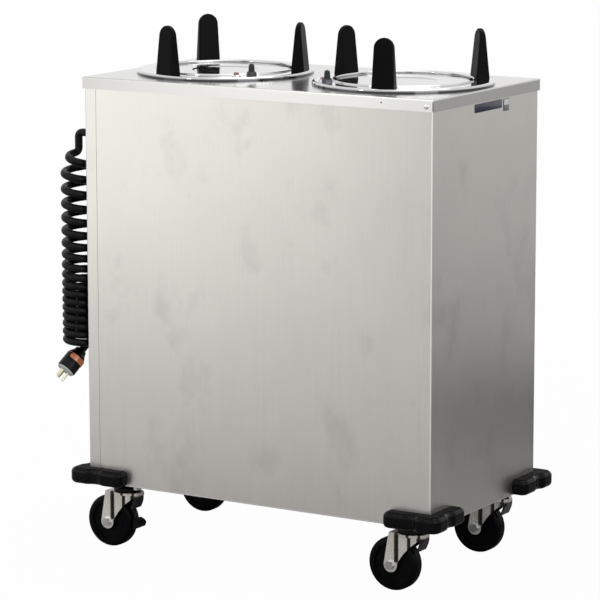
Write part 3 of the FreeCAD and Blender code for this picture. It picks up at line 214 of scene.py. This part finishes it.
def sheet_steel(name, grain, dark, light, smooth, rough, depth=0.00002, trim=None):
    """Grained stainless sheet: grain scales the streaks, small along them and large across."""
    finish = Finish(name, Metallic=1.0)
    blotches = finish.noise(4.0, detail=3.0)
    streaks = finish.noise(60.0, grain, detail=6.0, roughness=0.7)
    mottle = finish.math("MULTIPLY", finish.math("ADD", blotches, streaks), 0.5)
    colour = finish.blend(finish.spread(mottle, 0.0, 1.0, 0.35, 0.65), dark, light)
    finish.feed("Roughness", finish.spread(streaks, smooth, rough))
    if trim:
        colour = trim(finish, colour)
    finish.feed("Base Color", colour)
    finish.bump(streaks, depth)
    return finish.material


def panel_trim(finish, colour):
    """Smudges on the panels, and a painted highlight on their upright bends and along their folded foot."""
    patches = finish.noise(9.0, (1.0, 1.0, 0.8), detail=5.0, roughness=0.6)
    smudges = finish.spread(patches, 0.0, 0.45, 0.56, 0.72)
    colour = finish.blend(smudges, colour, (0.50, 0.485, 0.46))
    x, y, _ = finish.axes(finish.facing)
    # Painted highlight on the upright bends, where the normal lies between the x and y axes.
    bend = finish.math("ABSOLUTE", finish.math("MULTIPLY", x, y), 0.0)
    colour = finish.blend(finish.spread(bend, 0.0, 1.0, 0.1, 0.4), colour, (0.97, 0.96, 0.94))
    # Painted highlight: a pale strip along the panels' folded foot.
    height = finish.axes(finish.place)[2]
    foot = finish.spread(height, 0.8, 0.0, PANEL_FOOT + FOOT_PAINTED_HIGHLIGHT[0], PANEL_FOOT + FOOT_PAINTED_HIGHLIGHT[1])
    return finish.blend(foot, colour, (0.90, 0.88, 0.85))


def flange_trim(finish, colour):
    """The deck's front flange, with a painted highlight that grows towards its right-hand end."""
    front = finish.axes(finish.facing)[1]
    front = finish.spread(front, 1.0, 0.0, -0.9, -0.6)
    finish.feed("Roughness", finish.spread(front, 0.19, 0.32, 0.0, 1.0))
    # Painted highlight: the flange's face is paler towards its right-hand end.
    right = finish.spread(finish.axes(finish.place)[0], 0.0, 1.0, -HALF_WIDTH, HALF_WIDTH * 0.6)
    face = finish.blend(right, (0.55, 0.545, 0.53), (0.86, 0.85, 0.82))
    return finish.blend(front, colour, face)


def rim_trim(finish, colour):
    """Painted shadow under the ring's rolled edge."""
    height = finish.axes(finish.place)[2]
    under = finish.spread(height, 1.0, 0.0, DECK_TOP + RIM_SHADOW[0], DECK_TOP + RIM_SHADOW[1])
    return finish.blend(under, colour, (0.07, 0.07, 0.075))


def moulded(name, dark, light, smooth, rough, grain=400.0, depth=0.00006, shine=0.15, coat=0.0,
            dull_top=False):
    """Moulded plastic or rubber with a fine grain and slightly uneven gloss."""
    finish = Finish(name, Specular_IOR_Level=shine, Coat_Weight=coat, Coat_Roughness=0.12)
    if dull_top:
        upward = finish.axes(finish.facing)[2]
        finish.feed("Specular IOR Level", finish.spread(upward, shine, shine * 0.02, 0.75, 0.97))
    cloud = finish.noise(18.0, detail=3.0)
    skin = finish.noise(grain, detail=3.0)
    finish.feed("Base Color", finish.blend(finish.spread(cloud, 0.0, 1.0), dark, light))
    finish.feed("Roughness", finish.spread(cloud, smooth, rough))
    finish.bump(skin, depth)
    return finish.material


def fork_zinc(name, axle_x):
    """Bright zinc of a fork, with painted shade in its ribs' hollows and on its insides below the crown."""
    finish = Finish(name, Metallic=0.45)
    cloud = finish.noise(35.0, detail=5.0)
    scuffs = finish.noise(260.0, (1, 1, 0.3), detail=4.0)
    colour = finish.blend(finish.spread(cloud, 0.0, 1.0), (0.84, 0.80, 0.71), (0.95, 0.92, 0.85))
    x, y, z = finish.axes(finish.place)
    # Painted shade in the hollows of the fork's pressed ribs.
    for rib, half, rim in RIB_PAINTED_SHADOWS:
        off = finish.math("ABSOLUTE", finish.math("SUBTRACT", x, axle_x + rib), 0.0)
        shade = finish.math("MULTIPLY", finish.spread(off, 1.0, 0.0, half, half + rim),
                            finish.spread(z, 0.0, 1.0, AXLE_HEIGHT + RIB_FOOT[0], AXLE_HEIGHT + RIB_FOOT[1]))
        colour = finish.blend(shade, colour, (0.05, 0.042, 0.035))
    # Painted shadow: near black between the legs, and on faces turned to the rear below the crown.
    across = finish.math("SUBTRACT", finish.math("ABSOLUTE", y, 0.0), KINGPIN[1])
    across = finish.math("ABSOLUTE", across, 0.0)
    inner = finish.spread(across, 1.0, 0.0, LEG_INSIDE + LEG_SHADOW[0], LEG_INSIDE + LEG_SHADOW[1])
    below = finish.spread(z, 1.0, 0.0, CROWN_UNDER - CROWN_FADE, CROWN_UNDER)
    back = finish.math("MULTIPLY", finish.spread(finish.axes(finish.facing)[0], 0.0, 1.0, 0.2, 0.5), below)
    painted_inner_shadow = finish.math("MULTIPLY", finish.math("MAXIMUM", inner, back), below)
    finish.feed("Base Color", finish.blend(painted_inner_shadow, colour, (0.02, 0.02, 0.02)))
    finish.feed("Roughness", finish.spread(scuffs, 0.16, 0.30))
    finish.bump(scuffs, 0.00001)
    return finish.material


def plated(name, dark, light, smooth, rough):
    """Bright zinc or nickel plate with a faint cloudy tarnish."""
    finish = Finish(name, Metallic=1.0)
    cloud = finish.noise(35.0, detail=5.0)
    scuffs = finish.noise(260.0, (1, 1, 0.3), detail=4.0)
    finish.feed("Base Color", finish.blend(finish.spread(cloud, 0.0, 1.0), dark, light))
    finish.feed("Roughness", finish.spread(scuffs, smooth, rough))
    finish.bump(scuffs, 0.00001)
    return finish.material


UPRIGHT_GRAIN = (8.0, 8.0, 0.12)
LEVEL_GRAIN = (0.12, 8.0, 8.0)
STEEL = {
    "panel_steel": sheet_steel("panel_steel", UPRIGHT_GRAIN, (0.665, 0.642, 0.605), (0.725, 0.70, 0.66),
                               0.28, 0.36, trim=panel_trim),
    "deck_steel": sheet_steel("deck_steel", LEVEL_GRAIN, (0.56, 0.55, 0.54), (0.61, 0.605, 0.59),
                              0.16, 0.22, trim=flange_trim),
    "ring_steel": sheet_steel("ring_steel", (3.0, 3.0, 3.0), (0.60, 0.60, 0.60), (0.66, 0.66, 0.66),
                              0.07, 0.11, trim=rim_trim),
    "carrier_steel": sheet_steel("carrier_steel", LEVEL_GRAIN, (0.53, 0.53, 0.54), (0.59, 0.59, 0.60),
                                 0.08, 0.12),
    "inner_steel": sheet_steel("inner_steel", UPRIGHT_GRAIN, (0.50, 0.50, 0.50), (0.60, 0.60, 0.60),
                               0.30, 0.45),
}
ZINC = {"left": fork_zinc("left_fork_zinc", -KINGPIN[0] - TRAIL),
        "right": fork_zinc("right_fork_zinc", KINGPIN[0] - TRAIL)}
NICKEL = plated("bright_screw", (0.62, 0.62, 0.63), (0.76, 0.76, 0.77), 0.14, 0.26)
SPRING_STEEL = plated("spring_wire", (0.40, 0.40, 0.41), (0.55, 0.55, 0.56), 0.25, 0.40)
BRASS = plated("prong_brass", (0.66, 0.60, 0.42), (0.80, 0.75, 0.60), 0.18, 0.32)
HEATER = plated("heater_sheath", (0.20, 0.18, 0.17), (0.34, 0.32, 0.30), 0.40, 0.60)
SWITCH_NUT = plated("blackened_nut", (0.05, 0.05, 0.055), (0.12, 0.12, 0.13), 0.25, 0.38)
BUMPER = moulded("bumper_vinyl", (0.0015, 0.0015, 0.002), (0.004, 0.004, 0.005), 0.07, 0.12,
                 depth=0.00001, shine=0.12, dull_top=True)
POST = moulded("post_plastic", (0.0015, 0.0015, 0.002), (0.004, 0.004, 0.005), 0.34, 0.44, shine=0.06)
TREAD = moulded("wheel_rubber", (0.001, 0.0012, 0.0014), (0.004, 0.004, 0.005), 0.34, 0.46, shine=0.06)
ENAMEL = moulded("black_enamel", (0.002, 0.002, 0.0025), (0.006, 0.006, 0.007), 0.22, 0.32)
BOOT = moulded("boot_rubber", (0.008, 0.008, 0.009), (0.018, 0.018, 0.020), 0.30, 0.42, shine=0.35)
CORD_RUBBER = moulded("cord_rubber", (0.002, 0.002, 0.0025), (0.006, 0.006, 0.007), 0.28, 0.40)
PLUG_BLACK = moulded("plug_black", (0.003, 0.003, 0.004), (0.008, 0.008, 0.010), 0.25, 0.38)
PLUG_GREY = moulded("plug_grey", (0.42, 0.46, 0.44), (0.54, 0.58, 0.56), 0.40, 0.52, shine=0.4)
BAND_ORANGE = moulded("band_orange", (0.62, 0.14, 0.04), (0.80, 0.26, 0.10), 0.16, 0.28,
                      grain=160.0, depth=0.00003, shine=0.6, coat=0.4)
PHENOLIC = moulded("dark_phenolic", (0.010, 0.009, 0.008), (0.020, 0.018, 0.016), 0.40, 0.55)
LENS_RED = moulded("lamp_red", (0.16, 0.004, 0.006), (0.30, 0.008, 0.010), 0.08, 0.14,
                   depth=0.00002, shine=0.5, coat=0.6)
NAVY = moulded("nameplate_navy", (0.008, 0.012, 0.030), (0.014, 0.020, 0.046), 0.18, 0.30,
               depth=0.00001, shine=0.3)
PLATE_RIM = moulded("plate_rim", (0.05, 0.05, 0.08), (0.09, 0.09, 0.13), 0.20, 0.30, depth=0.00001, shine=0.4)
LABEL_WHITE = moulded("label_white", (0.66, 0.66, 0.66), (0.74, 0.74, 0.74), 0.30, 0.42,
                      depth=0.00001, shine=0.4)
LABEL_GREY = moulded("label_grey", (0.12, 0.12, 0.13), (0.18, 0.18, 0.19), 0.30, 0.42,
                     depth=0.00001, shine=0.4)


def dress(finish, *nodes):
    """Give CAD nodes a finish in their own material slots."""
    for node in nodes:
        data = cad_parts[node].data
        if not data.materials:
            data.materials.append(finish)
        for k in range(len(data.materials)):
            data.materials[k] = finish


def dress_frame():
    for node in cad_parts:
        dress(STEEL["inner_steel"], node)
    dress(STEEL["panel_steel"], "front_wrap", "rear_wrap")
    dress(STEEL["deck_steel"], "top_deck", "deck_rivets")
    dress(STEEL["ring_steel"], "left_ring", "right_ring")
    dress(STEEL["carrier_steel"], "left_carrier", "right_carrier")
    dress(POST, "left_guide_posts", "right_guide_posts")
    dress(NICKEL, "lamp_bezels", "caster_bolts", "bumper_screws", "left_toggle", "right_toggle")
    dress(SWITCH_NUT, "switch_nuts")
    dress(LENS_RED, "lamp_lenses")
    dress(BOOT, "left_switch_boot", "right_switch_boot")
    dress(PHENOLIC, "switch_bodies", "thermostats", "cord_gland")
    dress(HEATER, "heaters")
    dress(CORD_RUBBER, "wiring_harness", "cord_coil")
    dress(PLUG_BLACK, "plug_body")
    dress(PLUG_GREY, "plug_face")
    dress(BRASS, "plug_prongs")
    for corner in CORNERS:
        dress(BUMPER, "bumper_" + corner)
        dress(ENAMEL, "caster_plate_" + corner)
        dress(ZINC[corner.split("_")[1]], "fork_" + corner)
        dress(NICKEL, "axle_" + corner)
        dress(TREAD, "wheel_" + corner)
    dress(ENAMEL, "brake_front_left", "brake_rear_left")
    dress(SPRING_STEEL, "left_springs", "right_springs")


# ---- the cord ----
def coil_point(turns):
    """Centreline of the coil after so many turns."""
    closing = min(turns, OPEN_TURNS)
    drop = OPEN_PITCH * closing - (OPEN_PITCH - CLOSED_PITCH) * closing ** 2 / (2 * OPEN_TURNS)
    drop += CLOSED_PITCH * max(0.0, turns - OPEN_TURNS)
    ease = min(turns, 1.0)
    radius = COIL_START_RADIUS + (COIL_RADIUS - COIL_START_RADIUS) * ease * ease * (3 - 2 * ease)
    radius /= math.cos(math.pi / POINTS_PER_TURN)
    angle = math.radians(COIL_START) + 2 * math.pi * turns
    return Vector((COIL_AXIS[0] + radius * math.cos(angle), COIL_AXIS[1] + radius * math.sin(angle),
                   COIL_TOP - drop))


def cord_points():
    """The route's points from the gland, down, round the coil and into the plug."""
    angle = math.radians(COIL_START)
    drop_x = COIL_AXIS[0] + COIL_START_RADIUS * math.cos(angle) + COIL_BEND * math.sin(angle)
    gland_y = COIL_AXIS[1] + COIL_START_RADIUS * math.sin(angle) - COIL_BEND * math.cos(angle)
    start = Vector((-HALF_WIDTH - GLAND_LENGTH + GLAND_SOCKET, gland_y, GLAND_HEIGHT))
    corner = Vector((drop_x, gland_y, GLAND_HEIGHT))
    points = [start, start - Vector((0.008, 0, 0)), corner, Vector((drop_x, gland_y, COIL_TOP + 0.022)),
              Vector((drop_x, gland_y, COIL_TOP + 0.002))]
    count = round(COIL_TURNS * POINTS_PER_TURN)
    points += [coil_point(COIL_TURNS * (k + 0.5) / count) for k in range(count)]
    last = coil_point(COIL_TURNS)
    way = (last - coil_point(COIL_TURNS - 0.01)).normalized()
    turn = way.angle(PLUG_AXIS)
    reach = COIL_BEND * math.tan(turn / 2)
    bend = last + way * reach
    points += [bend, bend + PLUG_AXIS * reach, bend + PLUG_AXIS * (reach + CORD_DIAMETER)]
    return points


def mains_cord(band):
    """The cord's tube on one spline; band, the sleeve on its plug, is not used."""
    curve = bpy.data.curves.new("mains_cord", "CURVE")
    curve.dimensions = "3D"
    curve.resolution_u = 6
    curve.bevel_depth = CORD_DIAMETER / 2
    curve.bevel_resolution = 5
    curve.use_fill_caps = True
    points = cord_points()
    spline = curve.splines.new("NURBS")
    spline.points.add(len(points) - 1)
    for target, point in zip(spline.points, points):
        target.co = (*point, 1.0)
    spline.order_u = 3
    spline.use_endpoint_u = True
    cord = bpy.data.objects.new("mains_cord", curve)
    bpy.context.scene.collection.objects.link(cord)
    curve.materials.append(CORD_RUBBER)
    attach(cord, "cabinet")
    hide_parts("cord_coil")


# ---- small pieces ----
def piece(name, mesh, finish):
    """A finished mesh as an object that rides on the cabinet."""
    mesh.materials.append(finish)
    obj = bpy.data.objects.new(name, mesh)
    bpy.context.scene.collection.objects.link(obj)
    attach(obj, "cabinet")
    return obj


def lathe(name, profile, foot, axis, finish, segments=64):
    """Closed turned piece: (radius, height) pairs round an axis that starts at foot."""
    turn = Vector((0, 0, 1)).rotation_difference(axis).to_matrix()
    verts, faces = [], []
    for radius, height in profile:
        for k in range(segments):
            angle = 2 * math.pi * k / segments
            verts.append(foot + turn @ Vector((radius * math.cos(angle), radius * math.sin(angle), height)))
    rows = len(profile)
    for row in range(rows):
        after = (row + 1) % rows
        for k in range(segments):
            beside = (k + 1) % segments
            faces.append((row * segments + k, row * segments + beside,
                          after * segments + beside, after * segments + k))
    mesh = bpy.data.meshes.new(name)
    mesh.from_pydata(verts, [], faces)
    return piece(name, outward(mesh), finish)


def outward(mesh, angle=0.6):
    """Turn every face outwards and shade the mesh smooth except at its edges."""
    work = bmesh.new()
    work.from_mesh(mesh)
    bmesh.ops.remove_doubles(work, verts=work.verts, dist=1e-7)
    bmesh.ops.recalc_face_normals(work, faces=work.faces)
    for edge in work.edges:
        edge.smooth = len(edge.link_faces) == 2 and edge.calc_face_angle() < angle
    for face in work.faces:
        face.smooth = True
    work.to_mesh(mesh)
    work.free()
    return mesh


def slab(name, box, low, high, corner, finish):
    """Thin plate on the right-hand panel with round corners and a softened front edge."""
    y0, y1, z0, z1 = box
    soft = (high - low) * 0.4
    corners = [(y1 - corner, z1 - corner, 0), (y0 + corner, z1 - corner, 90),
               (y0 + corner, z0 + corner, 180), (y1 - corner, z0 + corner, 270)]
    rings = [(low, 0.0), (high - soft, 0.0), (high - soft * 0.3, soft * 0.3), (high, soft)]
    steps = 6
    verts = []
    for out, inset in rings:
        for y, z, start in corners:
            for k in range(steps + 1):
                angle = math.radians(start + 90 * k / steps)
                reach = corner - inset
                verts.append((PLATE_FACE + out, y + reach * math.cos(angle), z + reach * math.sin(angle)))
    count = 4 * (steps + 1)
    faces = [tuple(range(count)), tuple(range(3 * count, 4 * count))]
    for ring in range(3):
        for k in range(count):
            beside = (k + 1) % count
            faces.append((ring * count + k, ring * count + beside,
                          (ring + 1) * count + beside, (ring + 1) * count + k))
    mesh = bpy.data.meshes.new(name)
    mesh.from_pydata(verts, [], faces)
    return piece(name, outward(mesh), finish)


def shrunk(box, margin):
    return box[0] + margin, box[1] - margin, box[2] + margin, box[3] - margin


def plates():
    """A dark nameplate with a paler rim and a two-cell rating plate, both bare."""
    rim, field, proud = 0.0007, 0.0009, 0.001
    slab("nameplate_rim", NAMEPLATE, 0.0, rim, 0.0014, PLATE_RIM)
    slab("nameplate_field", shrunk(NAMEPLATE, 0.0009), rim * 0.5, field, 0.0008, NAVY)
    slab("rating_plate", RATING_PLATE, 0.0, rim, 0.001, PLATE_RIM)
    y0, y1, z0, z1 = shrunk(RATING_PLATE, 0.001)
    middle = z0 + (z1 - z0) * 0.46
    gap = 0.0004
    upper = (y0, y1, middle + gap, z1)
    lower = (y0, y1, z0, middle - gap)
    slab("rating_upper_cell", upper, rim * 0.5, proud, 0.0006, LABEL_WHITE)
    slab("rating_lower_cell", lower, rim * 0.5, proud, 0.0006, LABEL_GREY)


def flange_screw():
    """Small dark screw in the deck's front flange, with a recess in its head."""
    profile = [(0.0004, -0.0010), (0.0015, -0.0010), (0.0015, 0.0002), (0.0012, 0.0004), (0.0008, 0.0004),
               (0.0004, 0.0001)]
    lathe("flange_screw", profile, Vector(FLANGE_SCREW), Vector((0, -1, 0)), ENAMEL, 24)


def plug_band():
    """Orange sleeve on the plug, its edges softened."""
    low, high, radius = PLUG_BAND
    inner = radius - 0.0005
    soft = 0.0003
    profile = [(inner, low), (radius - soft, low), (radius, low + soft), (radius + 0.00008, (low + high) / 2),
               (radius, high - soft), (radius - soft, high), (inner, high)]
    return lathe("plug_band", profile, PLUG_REAR, PLUG_AXIS, BAND_ORANGE, 96)


# ---- the carriers' springs ----
def spring_tree():
    """Geometry nodes: a wound spring with a loop at each end, one on every foot."""
    tree = bpy.data.node_groups.new("extension_springs", "GeometryNodeTree")
    ports = {}
    for label, kind in (("Feet", "Geometry"), ("Coil Radius", "Float"), ("Wire Radius", "Float"),
                        ("Turns", "Float"), ("Body Length", "Float"), ("Hook", "Float"),
                        ("Finish", "Material")):
        port = tree.interface.new_socket(label, in_out="INPUT", socket_type="NodeSocket" + kind)
        ports[label] = port.identifier
    tree.interface.new_socket("Springs", in_out="OUTPUT", socket_type="NodeSocketGeometry")
    given = tree.nodes.new("NodeGroupInput").outputs
    made = tree.nodes.new("NodeGroupOutput").inputs

    def link(source, target):
        tree.links.new(source, target)

    def lifted(shape, height, turn=0.0):
        place = tree.nodes.new("ShaderNodeCombineXYZ")
        link(height, place.inputs["Z"])
        move = tree.nodes.new("GeometryNodeTransform")
        link(shape, move.inputs["Geometry"])
        link(place.outputs[0], move.inputs["Translation"])
        move.inputs["Rotation"].default_value = (turn, 0.0, 0.0)
        return move.outputs[0]

    spiral = tree.nodes.new("GeometryNodeCurveSpiral")
    spiral.inputs["Resolution"].default_value = 12
    link(given["Turns"], spiral.inputs["Rotations"])
    link(given["Coil Radius"], spiral.inputs["Start Radius"])
    link(given["Coil Radius"], spiral.inputs["End Radius"])
    link(given["Body Length"], spiral.inputs["Height"])
    loop = tree.nodes.new("GeometryNodeCurvePrimitiveCircle")
    loop.inputs["Resolution"].default_value = 16
    span = tree.nodes.new("ShaderNodeMath")
    span.operation = "SUBTRACT"
    link(given["Hook"], span.inputs[0])
    link(given["Wire Radius"], span.inputs[1])
    link(span.outputs[0], loop.inputs["Radius"])
    top = tree.nodes.new("ShaderNodeMath")
    link(given["Body Length"], top.inputs[0])
    link(given["Hook"], top.inputs[1])
    join = tree.nodes.new("GeometryNodeJoinGeometry")
    for shape in (lifted(spiral.outputs[0], given["Hook"]),
                  lifted(loop.outputs[0], given["Hook"], math.pi / 2),
                  lifted(loop.outputs[0], top.outputs[0], math.pi / 2)):
        link(shape, join.inputs[0])
    wire = tree.nodes.new("GeometryNodeCurvePrimitiveCircle")
    wire.inputs["Resolution"].default_value = 6
    link(given["Wire Radius"], wire.inputs["Radius"])
    tube = tree.nodes.new("GeometryNodeCurveToMesh")
    tube.inputs["Fill Caps"].default_value = True
    link(join.outputs[0], tube.inputs["Curve"])
    link(wire.outputs[0], tube.inputs["Profile Curve"])
    copies = tree.nodes.new("GeometryNodeInstanceOnPoints")
    link(given["Feet"], copies.inputs["Points"])
    link(tube.outputs[0], copies.inputs["Instance"])
    solid = tree.nodes.new("GeometryNodeRealizeInstances")
    link(copies.outputs[0], solid.inputs[0])
    painted = tree.nodes.new("GeometryNodeSetMaterial")
    link(solid.outputs[0], painted.inputs["Geometry"])
    link(given["Finish"], painted.inputs["Material"])
    link(painted.outputs[0], made[0])
    return tree, ports


def carrier_springs():
    tree, ports = spring_tree()
    sizes = {"Coil Radius": SPRING_RADIUS, "Wire Radius": SPRING_WIRE, "Turns": float(SPRING_TURNS),
             "Body Length": SPRING_TOP - SPRING_FOOT - 2 * SPRING_HOOK, "Hook": SPRING_HOOK,
             "Finish": SPRING_STEEL}
    for side, (centre, turn) in WELLS.items():
        feet = []
        for k in range(3):
            spin = Matrix.Rotation(math.radians(turn + 120 * k), 3, "Z")
            feet += [spin @ Vector((SPRING_ORBIT, way * SPRING_SPREAD, 0)) + Vector((centre, 0, SPRING_FOOT))
                     for way in (-1, 1)]
        mesh = bpy.data.meshes.new(side + "_spring_feet")
        mesh.from_pydata(feet, [], [])
        obj = bpy.data.objects.new(side + "_wound_springs", mesh)
        bpy.context.scene.collection.objects.link(obj)
        modifier = obj.modifiers.new("springs", "NODES")
        modifier.node_group = tree
        for label, value in sizes.items():
            modifier[ports[label]] = value
        wound = bpy.data.meshes.new_from_object(obj.evaluated_get(bpy.context.evaluated_depsgraph_get()))
        obj.modifiers.remove(modifier)
        obj.data = wound
        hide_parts(side + "_springs")
        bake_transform(obj)


# ---- the studio ----
# Painted shade on the floor, darkest about this centre, which the metal reflects.
FLOOR_CENTRE = (0.85, 0.70, 0.0)
FLOOR_NEAR = (0.2, 0.30)                    # distance from its centre, and painted shade
FLOOR_FAR = (4.2, 0.85)
CARD = ((0.54, 1.40), (1.54, 0.78), 0.11)   # its two ends and its height


def rays(tree, names):
    """One where a ray is of any of the named kinds, and zero elsewhere."""
    path = tree.nodes.new("ShaderNodeLightPath")
    total = None
    for name in names:
        if total is None:
            total = path.outputs[name]
            continue
        node = tree.nodes.new("ShaderNodeMath")
        node.operation = "MAXIMUM"
        tree.links.new(total, node.inputs[0])
        tree.links.new(path.outputs[name], node.inputs[1])
        total = node.outputs[0]
    return total


def studio_world():
    world = bpy.data.worlds.new("studio")
    bpy.context.scene.world = world
    world.use_nodes = True
    tree = world.node_tree
    fill = tree.nodes["Background"]
    fill.inputs["Color"].default_value = (1, 1, 1, 1)
    fill.inputs["Strength"].default_value = 0.55
    seen = tree.nodes.new("ShaderNodeBackground")
    seen.inputs["Color"].default_value = (1, 1, 1, 1)
    seen.inputs["Strength"].default_value = 1.0
    mix = tree.nodes.new("ShaderNodeMixShader")
    tree.links.new(rays(tree, ("Is Camera Ray", "Is Glossy Ray", "Is Transmission Ray")), mix.inputs["Fac"])
    tree.links.new(fill.outputs[0], mix.inputs[1])
    tree.links.new(seen.outputs[0], mix.inputs[2])
    tree.links.new(mix.outputs[0], tree.nodes["World Output"].inputs["Surface"])


def stage_mesh(name, corners, material):
    mesh = bpy.data.meshes.new(name)
    mesh.from_pydata(corners, [], [(0, 1, 2, 3)])
    mesh.materials.append(material)
    obj = bpy.data.objects.new(name, mesh)
    bpy.context.scene.collection.objects.link(obj)


def floor_shade(tree):
    """Floor colour, a painted shade: dark behind the cart's right-hand side, paler away from there."""
    place = tree.nodes.new("ShaderNodeTexCoord")
    far = tree.nodes.new("ShaderNodeVectorMath")
    far.operation = "DISTANCE"
    far.inputs[1].default_value = FLOOR_CENTRE
    tree.links.new(place.outputs["Object"], far.inputs[0])
    shade = tree.nodes.new("ShaderNodeMapRange")
    shade.interpolation_type = "SMOOTHSTEP"
    for label, value in (("From Min", FLOOR_NEAR[0]), ("From Max", FLOOR_FAR[0]),
                         ("To Min", FLOOR_NEAR[1]), ("To Max", FLOOR_FAR[1])):
        shade.inputs[label].default_value = value
    tree.links.new(far.outputs["Value"], shade.inputs["Value"])
    return shade.outputs[0]


def studio_floor():
    """Pale floor: white to the camera, with the cart's soft shadow."""
    material = bpy.data.materials.new("pale_floor")
    material.use_nodes = True
    tree = material.node_tree
    tree.nodes.remove(tree.nodes["Principled BSDF"])
    matt = tree.nodes.new("ShaderNodeBsdfDiffuse")
    tree.links.new(floor_shade(tree), matt.inputs["Color"])
    glow = tree.nodes.new("ShaderNodeEmission")
    glow.inputs["Strength"].default_value = 1.0
    share = tree.nodes.new("ShaderNodeMath")
    share.operation = "MULTIPLY"
    share.inputs[1].default_value = 0.98
    mix = tree.nodes.new("ShaderNodeMixShader")
    tree.links.new(rays(tree, ("Is Camera Ray",)), share.inputs[0])
    tree.links.new(share.outputs[0], mix.inputs["Fac"])
    tree.links.new(matt.outputs[0], mix.inputs[1])
    tree.links.new(glow.outputs[0], mix.inputs[2])
    tree.links.new(mix.outputs[0], tree.nodes["Material Output"].inputs["Surface"])
    reach = 12.0
    stage_mesh("floor", [(-reach, -reach, 0), (reach, -reach, 0), (reach, reach, 0), (-reach, reach, 0)],
               material)


def dark_card():
    """A low dark card beside the cart, out of the picture, that its right-hand panel reflects."""
    material = bpy.data.materials.new("dark_card")
    material.use_nodes = True
    shader = material.node_tree.nodes["Principled BSDF"]
    shader.inputs["Base Color"].default_value = (0.02, 0.02, 0.02, 1)
    shader.inputs["Roughness"].default_value = 1.0
    (x0, y0), (x1, y1), top = CARD
    stage_mesh("dark_card", [(x0, y0, 0), (x1, y1, 0), (x1, y1, top), (x0, y0, top)], material)


def soft_box(name, place, target, size, power):
    data = bpy.data.lights.new(name, "AREA")
    data.shape = "RECTANGLE"
    data.size, data.size_y = size
    data.energy = power
    lamp = bpy.data.objects.new(name, data)
    bpy.context.scene.collection.objects.link(lamp)
    lamp.location = place
    lamp.rotation_euler = (Vector(target) - Vector(place)).to_track_quat("-Z", "Y").to_euler()


def studio_lamps():
    soft_box("key", (-1.56, -1.90, 0.90), (-0.2, -0.2, 0.75), (1.3, 1.5), 4.6)
    soft_box("glint", (-0.9, -2.0, 2.4), (0, 0, 0.2), (0.16, 0.16), 4)
    soft_box("fill", (3.4, -2.0, 1.8), (0, 0, 0.5), (2.0, 1.6), 25)
    soft_box("top", (0.2, 0.6, 3.4), (0, 0, 0.9), (2.0, 1.6), 30)


bpy.context.scene.view_settings.view_transform = "Standard"
place_camera()
studio_world()
studio_floor()
dark_card()
studio_lamps()
dress_frame()
mains_cord(plug_band())
plates()
flange_screw()
carrier_springs()
